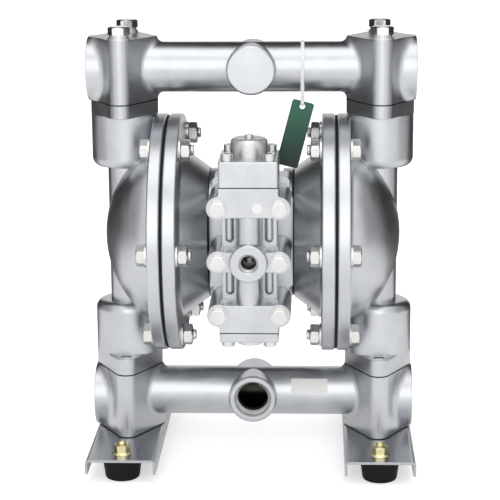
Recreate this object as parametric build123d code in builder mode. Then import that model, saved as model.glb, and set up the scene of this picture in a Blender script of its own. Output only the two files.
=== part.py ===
from build123d import *

import os
from math import atan2, cos, degrees, radians, sin, sqrt

os.makedirs("parts", exist_ok=True)

# Air operated double diaphragm pump of the 1 inch class, in millimetres.
#
# z = 0 is the floor under the rubber feet and +Z is up. The front, with the air valve and the
# liquid inlet, faces -Y. The axis of the chambers runs along X through y = 0, and the columns
# with the check valves stand at x = +column_offset and x = -column_offset. The left half
# mirrors the right half about x = 0.

# Layout of the pump
column_offset = 114.0
manifold_rise = 150.0
inlet_axis_rise = 33.0

# Base channels, rubber feet and their fastenings
foot_height = 19.7
foot_top_radius = 17.75
foot_bottom_radius = 15.0
foot_edge_radius = 2.5
foot_spacing = 164.0
foot_stud_radius = 4.0
foot_stud_rise = 11.4
foot_stud_depth = 12.0
foot_nut_flats = 13.0
foot_nut_flange_radius = 8.95
foot_nut_flange_height = 1.6
foot_nut_height = 8.6
channel_wall = 2.3
channel_width = 62.0
channel_depth = 13.0
channel_length = 204.0
channel_bend_radius = 4.0

# Manifold castings
tube_radius = 22.2
passage_radius = 15.0
end_disc_radius = 28.0
end_disc_reach = 31.0
branch_radius = 21.7
branch_reach = 30.2
branch_edge = 1.5
branch_passage_radius = 13.0
tube_blend = 6.0
end_disc_blend = 8.0
blend_margin = 20.0
outlet_block_drop = 29.0
outlet_block_rise = 27.3
inlet_block_rise = 26.0
inlet_riser_radius = 14.0

# Rhombic outline shared by the manifold blocks and the chamber pads
pillar_radius = 10.0
pillar_spacing = 67.0
outline_corner_radius = 4.0
outline_width = 60.0

# Liquid ports, threaded 1 inch taper; the radius is that of the thread's core
liquid_port_radius = 15.15
liquid_port_mouth = 17.0
liquid_port_depth = 14.4

# Ball check valves
ball_radius = 16.0
ball_lift = 7.0
seat_radius = 23.0
seat_bore_radius = 12.0
seat_height = 8.0
seat_seal_width = 1.8
seat_seal_height = 2.0
cage_radius = 20.5
cage_rib_width = 4.0
cage_rib_depth = 3.7
cage_rib_count = 4
cage_ring_height = 3.0
cage_ring_overlap = 1.0
cage_ring_inset = 2.0

# Liquid chambers
upper_pad_thickness = 12.0
lower_pad_thickness = 15.0
pocket_radius = 29.7
pocket_depth = 47.0
pocket_end_radius = 8.0
neck_radius = 16.0
neck_bore_radius = 11.0
liquid_flange_thickness = 10.8
dome_height = 56.3
dome_washer_gap = 2.0
dome_skirt = 1.9
dome_knuckle_radius = 38.0
dome_wall = 6.0
dome_fillet = 4.0
gusset_root = 1.5
gusset_depth = 11.3
upper_gusset_drop = 19.5
lower_gusset_rise = 23.0

# Flange joint of the chambers
flange_radius = 107.0
flange_edge = 1.0
flange_bolt_edge = 11.0
flange_bolt_count = 6
flange_bolt_length = 40.0

# Air chambers
air_chamber_depth = 35.8
air_flange_thickness = 11.5
air_wall = 6.0
bell_lip = 0.5
bell_rim_inset = 20.0
bell_fillet = 4.0
air_gasket_inset = 1.0
air_screw_edge = 18.0
air_screw_count = 6
air_screw_length = 16.0

# Diaphragms, their discs and the shaft
diaphragm_edge = 2.4
diaphragm_web = 3.0
diaphragm_setback = 1.5
convolution_gap = 2.0
convolution_height = 8.0
shaft_radius = 10.0
shaft_stud_radius = 7.0
shaft_stud_reach = 8.0
shaft_stroke = 11.0
disc_radius = 50.0
inner_disc_thickness = 6.0
outer_disc_rim = 3.5
outer_disc_thickness = 14.0
outer_disc_hub_radius = 18.0
bushing_radius = 14.0
bushing_length = 25.0
shaft_seal_length = 4.0
hub_radius = 19.9
hub_length = 8.0

# Centre body
centre_half_length = 38.0
end_plate_thickness = 9.2
end_plate_radius = 58.0
barrel_radius = 36.0
mount_box_width = 68.0
mount_box_bottom = 60.0
mount_box_top = 58.0
mount_box_depth = 31.0
mount_box_fillet = 4.0
exhaust_boss_radius = 19.0
exhaust_boss_reach = 58.0
exhaust_port_radius = 9.3
exhaust_port_depth = 16.0
exhaust_mouth = 10.6
exhaust_passage_radius = 6.0
exhaust_passage_depth = 22.0

# Pilot pins, pushed by the inner discs at the ends of the stroke
pilot_pin_radius = 3.5
pilot_pin_circle = 28.0
pilot_pin_length = 36.0
pilot_pin_travel = 3.0

# Air valve
valve_centre_drop = 4.1
valve_rear = 42.0
valve_depth = 62.0
valve_width = 50.6
valve_top = 63.7
valve_bottom = 62.1
top_bar_bottom = 38.5
middle_bar_top = 8.6
middle_bar_bottom = 8.7
bottom_bar_top = 37.8
lobe_radius = 9.8
lobe_fillet = 3.0
lobe_spacing = 52.0
row_pitch = 46.7
core_width = 47.4
core_setback = 24.0
front_column_radius = 11.3
side_rib_radius = 3.5
side_rib_spacing = 34.0
side_rib_gap = 4.0
air_boss_radius = 16.2
air_boss_reach = 6.0
air_port_radius = 7.475
air_port_mouth = 8.6
air_port_depth = 12.0
air_passage_radius = 5.0
gasket = 0.8

# Covers of the air valve
top_cover_height = 22.2
cover_corner_radius = 2.0
cover_edge = 0.8
bottom_cover_height = 7.4
cover_screw_spacing_x = 35.8
cover_screw_spacing_y = 48.0
bottom_plug_radius = 11.1
bottom_plug_height = 9.0
bottom_plug_stem_radius = 9.0
reset_cap_radius = 15.8
reset_cap_height = 15.7
reset_cap_rounding = 3.4
reset_cap_wall = 3.0
reset_cavity_radius = 8.5
reset_button_radius = 3.75
reset_button_reach = 2.7
reset_button_collar_radius = 7.5
reset_button_collar = 2.0
reset_spring_radius = 7.0
reset_spring_wire = 1.2

# Sleeve and spool of the air valve
sleeve_radius = 9.5
spool_radius = 6.5
sleeve_groove_depth = 1.2
sleeve_groove_width = 7.0
sleeve_port_radius = 1.8
spool_land_length = 12.0
spool_neck_radius = 4.0
spool_land_pitch = 28.0
spool_land_count = 3
spool_travel = 8.0
spool_ring_width = 2.5
spool_ring_depth = 1.2

# Metric fasteners: shank radius, width across flats, head, nut and washers
m10_radius = 5.0
m10_flats = 17.0
m10_head = 7.0
m10_nut = 8.0
m10_washer_radius = 10.0
m10_washer = 2.0
m10_spring_washer_radius = 8.6
m10_spring_washer = 2.5
m10_spring_washer_gap = 2.5
upper_bolt_length = 70.0
lower_bolt_length = 80.0
m8_radius = 4.0
m8_flats = 13.0
m8_head = 5.3
m8_washer_radius = 8.0
m8_washer = 1.6
m8_socket_head_radius = 6.5
m8_socket_flats = 6.0
m8_socket_depth = 4.0
valve_bolt_length = 80.0
m6_radius = 3.0
m6_head_radius = 5.0
m6_head = 6.0
m6_flats = 10.0
m6_hex_head = 4.8
m6_socket_flats = 5.0
m6_socket_depth = 3.0
cover_screw_grip = 10.0
fastener_edge = 0.8

# Tag and the tie that carries it
tag_width = 19.5
tag_foot_gap = 3.9
tag_thickness = 0.8
tag_corner_radius = 2.0
tag_hole_radius = 2.4
tag_hole_inset = 4.6
tag_tilt = 14.7
tag_x = 45.0
tag_y = -22.0
tie_width = 3.0
tie_thickness = 0.8
tie_drop = 29.5
tie_loop_radius = 1.5

# Clearances
bolt_clearance = 0.5
thread_fit = 0.05
running_fit = 0.05
seat_fit = 0.1
loose_fit = 0.3
stop_gap = 0.6
screw_tip_gap = 1.0

# Reach of cutters past a surface, and the tolerance for picking edges by their size
cutter_margin = 1.0
pick_tolerance = 0.01

# Heights derived from the layout
channel_top = foot_height + channel_wall
inlet_z = channel_top + inlet_axis_rise
centre_z = inlet_z + manifold_rise
outlet_z = centre_z + manifold_rise
lower_pad_z = inlet_z + inlet_block_rise
upper_pad_z = outlet_z - outlet_block_drop
outlet_top = outlet_z + outlet_block_rise
valve_z = centre_z - valve_centre_drop
valve_top_z = valve_z + valve_top
valve_bottom_z = valve_z - valve_bottom

# Radii that follow the flanges and the end plates
flange_bolt_circle = flange_radius - flange_bolt_edge
diaphragm_radius = flange_radius - diaphragm_setback
dome_radius = flange_bolt_circle - m10_washer_radius - dome_fillet - dome_washer_gap
bell_base_radius = end_plate_radius + bell_lip
bell_rim_radius = flange_bolt_circle - bell_rim_inset
air_screw_circle = end_plate_radius - air_screw_edge

# Crown radius of the dome, tangent to its knuckle where the crown reaches the dome's height
dome_rise = dome_height - dome_skirt
dome_knuckle_circle = dome_radius - dome_knuckle_radius
dome_crown_radius = (dome_rise**2 + dome_knuckle_circle**2 - dome_knuckle_radius**2) / (
    2 * (dome_rise - dome_knuckle_radius)
)

# Stations along the chamber axis, as distances from the middle
air_chamber_x = centre_half_length
air_joint_x = air_chamber_x + air_chamber_depth
air_flange_x = air_joint_x - air_flange_thickness
liquid_joint_x = air_joint_x + diaphragm_edge
liquid_flange_x = liquid_joint_x + liquid_flange_thickness
dome_tip_x = liquid_joint_x + dome_height
centre_end_x = centre_half_length - gasket
chamber_bore_radius = dome_radius - dome_wall

# Stations of the air valve along Y
valve_rear_y = -valve_rear
valve_front_y = valve_rear_y - valve_depth
valve_mid_y = (valve_front_y + valve_rear_y) / 2
mount_face_y = valve_rear_y + gasket
core_front_y = valve_front_y + core_setback

# Check valves
ball_rest = sqrt(ball_radius**2 - seat_bore_radius**2) + loose_fit
cage_ring_base = ball_rest + ball_radius + ball_lift + stop_gap
cage_height = cage_ring_base + cage_ring_height
cage_cavity = cage_height + loose_fit
outlet_seat_z = upper_pad_z
inlet_seat_z = lower_pad_z

# The tag hangs tilted from the tie and ends above the end plates
tilt = radians(tag_tilt)
strand_top_z = outlet_z - tie_drop - tie_loop_radius
hole_drop = sqrt((tag_hole_radius - loose_fit) ** 2 - (tie_width / 2) ** 2)
hole_z = strand_top_z - hole_drop
tag_drop = hole_z - (centre_z + end_plate_radius) - tag_foot_gap
tag_length = tag_hole_inset + (tag_drop - tag_width / 2 * sin(tilt)) / cos(tilt)

chamber_axis = Axis((0, 0, centre_z), (1, 0, 0))
section = Plane(origin=(0, 0, centre_z), x_dir=(1, 0, 0), z_dir=(0, -1, 0))
sides = (1, -1)


def across(x, side=1):
    """Plane square to the chamber axis at a distance x from the middle, facing outwards."""
    return Plane(origin=(side * x, 0, centre_z), x_dir=(0, side, 0), z_dir=(side, 0, 0))


def facing(y, x=0.0, z=0.0):
    """Plane square to Y at the given y, facing the front."""
    return Plane(origin=(x, y, z), x_dir=(1, 0, 0), z_dir=(0, -1, 0))


def level(z, x=0.0, y=0.0):
    """Horizontal plane at the given height."""
    return Plane(origin=(x, y, z), x_dir=(1, 0, 0), z_dir=(0, 0, 1))


def rhombic_outline():
    """Outline of the blocks and pads: two bolt pillars and two slim corners, joined by tangents."""
    with Locations((0, pillar_spacing / 2), (0, -pillar_spacing / 2)):
        Circle(pillar_radius)
    corner = outline_width / 2 - outline_corner_radius
    with Locations((corner, 0), (-corner, 0)):
        Circle(outline_corner_radius)
    make_hull()


def dished_section(inset):
    """Half section of the torispherical dome, inset from its outer surface."""
    crown = dome_crown_radius - inset
    knuckle = dome_knuckle_radius - inset
    crown_x = dome_tip_x - dome_crown_radius
    knuckle_x = liquid_joint_x + dome_skirt
    knuckle_r = dome_knuckle_circle
    tangent = degrees(atan2(knuckle_r, knuckle_x - crown_x))
    with BuildLine() as outline:
        tip = CenterArc((crown_x, 0), crown, 0, tangent)
        rim = CenterArc((knuckle_x, knuckle_r), knuckle, tangent, 90 - tangent)
        Polyline(rim @ 1, (liquid_joint_x, knuckle_r + knuckle), (liquid_joint_x, 0), tip @ 0)
    make_face(outline.edges())


def blend_into_blocks(manifold, radius, blend):
    """Blend a manifold's round tube, or its end discs, into the blocks on the columns."""
    joints = [
        edge
        for face in manifold.faces().filter_by(GeomType.CYLINDER)
        if abs(face.radius - radius) < pick_tolerance
        for edge in face.edges()
        if edge.geom_type != GeomType.LINE
        and abs(abs(edge.center().X) - column_offset) < outline_width / 2
    ]
    fillet(joints, blend)


def trim_level(low, high):
    """Cut a manifold flat at the heights of its two bolted faces."""
    for z, grow in ((high, 1), (low, -1)):
        with BuildSketch(level(z)) as profile:
            Rectangle(
                2 * (column_offset + end_disc_reach + cutter_margin),
                pillar_spacing + 2 * (pillar_radius + cutter_margin),
            )
        extrude(profile.sketch, amount=grow * (blend_margin + cutter_margin), mode=Mode.SUBTRACT)


def ring(plane, outer, inner, height, places=((0, 0),)):
    """Flat rings standing on a plane, one at each place."""
    with BuildSketch(plane) as profile:
        with Locations(*places):
            Circle(outer)
            Circle(inner, mode=Mode.SUBTRACT)
    extrude(profile.sketch, amount=height)


def disc(plane, radius, height, places=((0, 0),), mode=Mode.ADD):
    """Round pins standing on a plane, or holes sunk from it with Mode.SUBTRACT."""
    with BuildSketch(plane) as profile:
        with Locations(*places):
            Circle(radius)
    extrude(profile.sketch, amount=height, mode=mode)


def hexagon(plane, flats, height, places=((0, 0),), mode=Mode.ADD):
    """Hexagonal heads or nuts standing on a plane, or sockets with Mode.SUBTRACT."""
    with BuildSketch(plane) as profile:
        with Locations(*places):
            RegularPolygon(flats / 2, 6, major_radius=False)
    extrude(profile.sketch, amount=height, mode=mode)


def polar_places(radius, count, start=0.0):
    """Points spaced evenly round a circle, the first at the start angle in degrees."""
    angles = [radians(start + i * 360 / count) for i in range(count)]
    return [(radius * cos(angle), radius * sin(angle)) for angle in angles]


flange_places = polar_places(flange_bolt_circle, flange_bolt_count)
air_screw_places = polar_places(air_screw_circle, air_screw_count, 180 / air_screw_count)
pillar_places = [(sx * column_offset, sy * pillar_spacing / 2) for sx in sides for sy in sides]
foot_places = [(sx * column_offset, sy * foot_spacing / 2) for sx in sides for sy in sides]
lobe_places = [
    (sx * lobe_spacing / 2, row * row_pitch) for sx in sides for row in (-1, 0, 1)
]
cover_screw_places = [
    (sx * cover_screw_spacing_x / 2, sy * cover_screw_spacing_y / 2) for sx in sides for sy in sides
]

# Manifold castings

with BuildPart() as outlet_manifold:
    disc(Plane.YZ.offset(-column_offset), tube_radius, 2 * column_offset, [(0, outlet_z)])
    for side in sides:
        with BuildSketch(level(upper_pad_z - blend_margin, side * column_offset)):
            rhombic_outline()
        extrude(amount=outlet_top - upper_pad_z + 2 * blend_margin)
        end_plane = Plane(
            origin=(side * column_offset, 0, (upper_pad_z + outlet_top) / 2),
            x_dir=(0, side, 0), z_dir=(side, 0, 0),
        )
        disc(end_plane, end_disc_radius, end_disc_reach)
    blend_into_blocks(outlet_manifold, tube_radius, tube_blend)
    blend_into_blocks(outlet_manifold, end_disc_radius, end_disc_blend)
    trim_level(upper_pad_z, outlet_top)
    disc(facing(branch_reach, 0, outlet_z), branch_radius, 2 * branch_reach)
    branch_rims = (
        outlet_manifold.edges()
        .filter_by(GeomType.CIRCLE)
        .filter_by(lambda e: abs(abs(e.center().Y) - branch_reach) < pick_tolerance)
    )
    chamfer(branch_rims, branch_edge)
    disc(
        Plane.YZ.offset(-column_offset), passage_radius, 2 * column_offset,
        [(0, outlet_z)], Mode.SUBTRACT,
    )
    for side in sides:
        base = level(upper_pad_z, side * column_offset)
        disc(base, cage_radius, seat_height + cage_cavity, mode=Mode.SUBTRACT)
        disc(base, seat_radius + seat_fit, seat_height, mode=Mode.SUBTRACT)
    disc(
        level(upper_pad_z), m10_radius + bolt_clearance, outlet_top - upper_pad_z,
        pillar_places, Mode.SUBTRACT,
    )
    disc(
        facing(branch_reach, 0, outlet_z), liquid_port_radius, liquid_port_depth,
        mode=Mode.SUBTRACT,
    )
    disc(
        facing(branch_reach, 0, outlet_z), branch_passage_radius, branch_reach,
        mode=Mode.SUBTRACT,
    )
    port_rim = (
        outlet_manifold.edges()
        .filter_by(GeomType.CIRCLE)
        .filter_by(lambda e: abs(e.radius - liquid_port_radius) < pick_tolerance)
        .sort_by(Axis.Y)[-1]
    )
    chamfer(port_rim, liquid_port_mouth - liquid_port_radius)
outlet_manifold.part.label = "outlet_manifold"
export_step(outlet_manifold.part, "parts/outlet_manifold.step")

with BuildPart() as inlet_manifold:
    disc(Plane.YZ.offset(-column_offset), tube_radius, 2 * column_offset, [(0, inlet_z)])
    for side in sides:
        with BuildSketch(level(channel_top - blend_margin, side * column_offset)):
            rhombic_outline()
        extrude(amount=lower_pad_z - channel_top + 2 * blend_margin)
        end_plane = Plane(
            origin=(side * column_offset, 0, (channel_top + lower_pad_z) / 2),
            x_dir=(0, side, 0), z_dir=(side, 0, 0),
        )
        disc(end_plane, end_disc_radius, end_disc_reach)
    blend_into_blocks(inlet_manifold, tube_radius, tube_blend)
    blend_into_blocks(inlet_manifold, end_disc_radius, end_disc_blend)
    trim_level(channel_top, lower_pad_z)
    disc(facing(branch_reach, 0, inlet_z), branch_radius, 2 * branch_reach)
    branch_rims = (
        inlet_manifold.edges()
        .filter_by(GeomType.CIRCLE)
        .filter_by(lambda e: abs(abs(e.center().Y) - branch_reach) < pick_tolerance)
    )
    chamfer(branch_rims, branch_edge)
    disc(
        Plane.YZ.offset(-column_offset), passage_radius, 2 * column_offset,
        [(0, inlet_z)], Mode.SUBTRACT,
    )
    for side in sides:
        riser = level(inlet_z, side * column_offset)
        disc(riser, inlet_riser_radius, inlet_block_rise, mode=Mode.SUBTRACT)
    disc(
        level(channel_top), m10_radius + bolt_clearance, lower_pad_z - channel_top,
        pillar_places, Mode.SUBTRACT,
    )
    disc(
        facing(-branch_reach, 0, inlet_z), liquid_port_radius, -liquid_port_depth,
        mode=Mode.SUBTRACT,
    )
    disc(
        facing(-branch_reach, 0, inlet_z), branch_passage_radius, -branch_reach,
        mode=Mode.SUBTRACT,
    )
    port_rim = (
        inlet_manifold.edges()
        .filter_by(GeomType.CIRCLE)
        .filter_by(lambda e: abs(e.radius - liquid_port_radius) < pick_tolerance)
        .sort_by(Axis.Y)[0]
    )
    chamfer(port_rim, liquid_port_mouth - liquid_port_radius)
inlet_manifold.part.label = "inlet_manifold"
export_step(inlet_manifold.part, "parts/inlet_manifold.step")

# Liquid chambers

with BuildPart() as liquid_chamber_right:
    with BuildSketch(section):
        dished_section(0)
    revolve(axis=chamber_axis)
    disc(across(liquid_joint_x), flange_radius, liquid_flange_thickness)
    rim_edges = (
        liquid_chamber_right.edges()
        .filter_by(GeomType.CIRCLE)
        .filter_by(lambda e: abs(e.radius - flange_radius) < pick_tolerance)
    )
    chamfer(rim_edges, flange_edge)
    root_edges = (
        liquid_chamber_right.edges()
        .filter_by(GeomType.CIRCLE)
        .filter_by(lambda e: abs(e.center().X - liquid_flange_x) < pick_tolerance)
        .sort_by(lambda e: e.radius)
    )
    fillet(root_edges[0], dome_fillet)
    for pad_z, grow, thickness, gusset in (
        (upper_pad_z, -1, upper_pad_thickness, upper_gusset_drop),
        (lower_pad_z, 1, lower_pad_thickness, lower_gusset_rise),
    ):
        with BuildSketch(level(pad_z, column_offset)):
            rhombic_outline()
        extrude(amount=grow * thickness)
        pocket_plane = Plane(
            origin=(column_offset, 0, pad_z + grow * thickness), x_dir=(1, 0, 0), z_dir=(0, -grow, 0)
        )
        with BuildSketch(pocket_plane) as pocket_section:
            Rectangle(pocket_radius, pocket_depth, align=(Align.MIN, Align.MIN))
            fillet(
                pocket_section.vertices().sort_by(lambda v: v.X + v.Y)[-1], pocket_end_radius
            )
        revolve(axis=Axis((column_offset, 0, 0), (0, 0, 1)))
        with BuildSketch(level(pad_z, column_offset)):
            rhombic_outline()
            with Locations((liquid_flange_x - gusset_root - column_offset, 0)):
                Rectangle(
                    gusset_depth, outline_width, align=(Align.MIN, Align.CENTER),
                    mode=Mode.INTERSECT,
                )
        extrude(amount=grow * gusset)
    neck_length = upper_pad_z - lower_pad_z - upper_pad_thickness - lower_pad_thickness
    disc(level(lower_pad_z + lower_pad_thickness, column_offset), neck_radius, neck_length)
    with BuildSketch(section):
        dished_section(dome_wall)
    revolve(axis=chamber_axis, mode=Mode.SUBTRACT)
    disc(
        level(lower_pad_z, column_offset), neck_bore_radius, upper_pad_z - lower_pad_z,
        mode=Mode.SUBTRACT,
    )
    disc(level(upper_pad_z, column_offset), cage_radius, -cage_cavity, mode=Mode.SUBTRACT)
    disc(
        level(lower_pad_z, column_offset), cage_radius, seat_height + cage_cavity,
        mode=Mode.SUBTRACT,
    )
    disc(
        level(lower_pad_z, column_offset), seat_radius + seat_fit, seat_height,
        mode=Mode.SUBTRACT,
    )
    pad_holes = [(0, pillar_spacing / 2), (0, -pillar_spacing / 2)]
    disc(
        level(upper_pad_z, column_offset), m10_radius + thread_fit, -upper_pad_thickness,
        pad_holes, Mode.SUBTRACT,
    )
    disc(
        level(lower_pad_z, column_offset), m10_radius + thread_fit, lower_pad_thickness,
        pad_holes, Mode.SUBTRACT,
    )
    disc(
        across(liquid_joint_x), m10_radius + bolt_clearance, liquid_flange_thickness,
        flange_places, Mode.SUBTRACT,
    )
liquid_chamber_right.part.label = "liquid_chamber_right"
export_step(liquid_chamber_right.part, "parts/liquid_chamber_right.step")

with BuildPart() as liquid_chamber_left:
    mirror(liquid_chamber_right.part, about=Plane.YZ)
liquid_chamber_left.part.label = "liquid_chamber_left"
export_step(liquid_chamber_left.part, "parts/liquid_chamber_left.step")

# Air chambers

bell_slope = (bell_rim_radius - bell_base_radius) / (air_flange_x - air_chamber_x)
bell_shift = air_wall * sqrt(1 + bell_slope**2)


def bell_radius(x):
    """Outer radius of the bell at a distance x from the middle."""
    return bell_base_radius + (x - air_chamber_x) * bell_slope


with BuildPart() as air_chamber_right:
    end_wall_x = air_chamber_x + air_wall
    inner_base = bell_radius(end_wall_x) - bell_shift
    bore_x = end_wall_x + (chamber_bore_radius - inner_base) / bell_slope
    with BuildSketch(section):
        with BuildLine():
            Polyline(
                (air_chamber_x, hub_radius + seat_fit),
                (air_chamber_x, bell_base_radius),
                (air_flange_x, bell_rim_radius),
                (air_flange_x, flange_radius),
                (air_joint_x, flange_radius),
                (air_joint_x, chamber_bore_radius),
                (bore_x, chamber_bore_radius),
                (end_wall_x, inner_base),
                (end_wall_x, hub_radius + seat_fit),
                close=True,
            )
        make_face()
    revolve(axis=chamber_axis)
    rim_edges = (
        air_chamber_right.edges()
        .filter_by(GeomType.CIRCLE)
        .filter_by(lambda e: abs(e.radius - flange_radius) < pick_tolerance)
    )
    chamfer(rim_edges, flange_edge)
    bell_edges = (
        air_chamber_right.edges()
        .filter_by(GeomType.CIRCLE)
        .filter_by(
            lambda e: abs(e.radius - bell_rim_radius) < pick_tolerance
            or abs(e.radius - inner_base) < pick_tolerance
        )
    )
    fillet(bell_edges, bell_fillet)
    disc(
        across(air_flange_x), m10_radius + bolt_clearance, air_flange_thickness,
        flange_places, Mode.SUBTRACT,
    )
    disc(
        across(air_chamber_x), m8_radius + bolt_clearance, air_wall, air_screw_places, Mode.SUBTRACT
    )
    disc(
        across(air_chamber_x), pilot_pin_radius + bolt_clearance, air_wall,
        [(0, pilot_pin_circle)], Mode.SUBTRACT,
    )
air_chamber_right.part.label = "air_chamber_right"
export_step(air_chamber_right.part, "parts/air_chamber_right.step")

with BuildPart() as air_chamber_left:
    mirror(air_chamber_right.part, about=Plane.YZ)
air_chamber_left.part.label = "air_chamber_left"
export_step(air_chamber_left.part, "parts/air_chamber_left.step")

with BuildPart() as air_chamber_gaskets:
    for side in sides:
        disc(across(centre_end_x, side), bell_base_radius - air_gasket_inset, gasket)
        disc(across(centre_end_x, side), hub_radius + seat_fit, gasket, mode=Mode.SUBTRACT)
        disc(
            across(centre_end_x, side), m8_radius + bolt_clearance, gasket,
            air_screw_places, Mode.SUBTRACT,
        )
        disc(
            across(centre_end_x, side), pilot_pin_radius + bolt_clearance, gasket,
            [(0, pilot_pin_circle)], Mode.SUBTRACT,
        )
air_chamber_gaskets.part.label = "air_chamber_gaskets"
export_step(air_chamber_gaskets.part, "parts/air_chamber_gaskets.step")

with BuildPart() as air_chamber_screws:
    screw_seat_x = air_chamber_x + air_wall
    for side in sides:
        disc(across(screw_seat_x, side), m8_radius, -air_screw_length, air_screw_places)
        disc(across(screw_seat_x, side), m8_socket_head_radius, 2 * m8_radius, air_screw_places)
        hexagon(
            across(screw_seat_x + 2 * m8_radius - m8_socket_depth, side), m8_socket_flats,
            m8_socket_depth, air_screw_places, Mode.SUBTRACT,
        )
air_chamber_screws.part.label = "air_chamber_screws"
export_step(air_chamber_screws.part, "parts/air_chamber_screws.step")

# Diaphragms

with BuildPart() as diaphragm_right:
    convolution_start = disc_radius + convolution_gap
    convolution_mid = (convolution_start + chamber_bore_radius) / 2
    crest = liquid_joint_x + convolution_height
    with BuildSketch(section):
        with BuildLine():
            outer_inner = Line(
                (liquid_joint_x, shaft_stud_radius + seat_fit), (liquid_joint_x, convolution_start)
            )
            outer_arc = ThreePointArc(
                outer_inner @ 1, (crest, convolution_mid), (liquid_joint_x, chamber_bore_radius)
            )
            edge = Polyline(
                outer_arc @ 1,
                (liquid_joint_x, diaphragm_radius),
                (air_joint_x, diaphragm_radius),
                (air_joint_x, chamber_bore_radius),
            )
            inner_arc = ThreePointArc(
                edge @ 1, (crest - diaphragm_web, convolution_mid), (air_joint_x, convolution_start)
            )
            Polyline(
                inner_arc @ 1, (air_joint_x, shaft_stud_radius + seat_fit), outer_inner @ 0
            )
        make_face()
    revolve(axis=chamber_axis)
    disc(
        across(air_joint_x), m10_radius + bolt_clearance, diaphragm_edge,
        flange_places, Mode.SUBTRACT,
    )
diaphragm_right.part.label = "diaphragm_right"
export_step(diaphragm_right.part, "parts/diaphragm_right.step")

with BuildPart() as diaphragm_left:
    mirror(diaphragm_right.part, about=Plane.YZ)
diaphragm_left.part.label = "diaphragm_left"
export_step(diaphragm_left.part, "parts/diaphragm_left.step")

# Shaft and the discs that clamp the diaphragms

with BuildPart() as centre_shaft:
    shaft_end_x = air_joint_x - inner_disc_thickness
    disc(across(0, 1), shaft_radius, shaft_end_x)
    disc(across(0, -1), shaft_radius, shaft_end_x)
    for side in sides:
        stud_reach = inner_disc_thickness + diaphragm_edge + shaft_stud_reach
        disc(across(shaft_end_x, side), shaft_stud_radius, stud_reach)
    stud_tips = (
        centre_shaft.edges()
        .filter_by(GeomType.CIRCLE)
        .filter_by(lambda e: abs(e.center().X) > liquid_joint_x)
    )
    chamfer(stud_tips, fastener_edge)
centre_shaft.part.label = "centre_shaft"
export_step(centre_shaft.part, "parts/centre_shaft.step")

with BuildPart() as inner_disc_right:
    disc(across(shaft_end_x), disc_radius, inner_disc_thickness)
    back_rim = (
        inner_disc_right.edges().filter_by(GeomType.CIRCLE).sort_by(lambda e: e.center().X)[0]
    )
    fillet(back_rim, inner_disc_thickness / 2)
    disc(
        across(shaft_end_x), shaft_stud_radius + seat_fit, inner_disc_thickness, mode=Mode.SUBTRACT
    )
inner_disc_right.part.label = "inner_disc_right"
export_step(inner_disc_right.part, "parts/inner_disc_right.step")

with BuildPart() as inner_disc_left:
    mirror(inner_disc_right.part, about=Plane.YZ)
inner_disc_left.part.label = "inner_disc_left"
export_step(inner_disc_left.part, "parts/inner_disc_left.step")

with BuildPart() as outer_disc_right:
    hub_end = liquid_joint_x + outer_disc_thickness
    stud_hole = liquid_joint_x + shaft_stud_reach + screw_tip_gap
    with BuildSketch(section):
        with BuildLine():
            Polyline(
                (liquid_joint_x, shaft_stud_radius + thread_fit),
                (liquid_joint_x, disc_radius),
                (liquid_joint_x + outer_disc_rim, disc_radius),
                (hub_end - outer_disc_rim, outer_disc_hub_radius + outer_disc_rim),
                (hub_end, outer_disc_hub_radius),
                (hub_end, 0),
                (stud_hole, 0),
                (stud_hole, shaft_stud_radius + thread_fit),
                close=True,
            )
        make_face()
    revolve(axis=chamber_axis)
outer_disc_right.part.label = "outer_disc_right"
export_step(outer_disc_right.part, "parts/outer_disc_right.step")

with BuildPart() as outer_disc_left:
    mirror(outer_disc_right.part, about=Plane.YZ)
outer_disc_left.part.label = "outer_disc_left"
export_step(outer_disc_left.part, "parts/outer_disc_left.step")

# Centre body between the air chambers, with the shaft bore and the exhaust at the back

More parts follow.
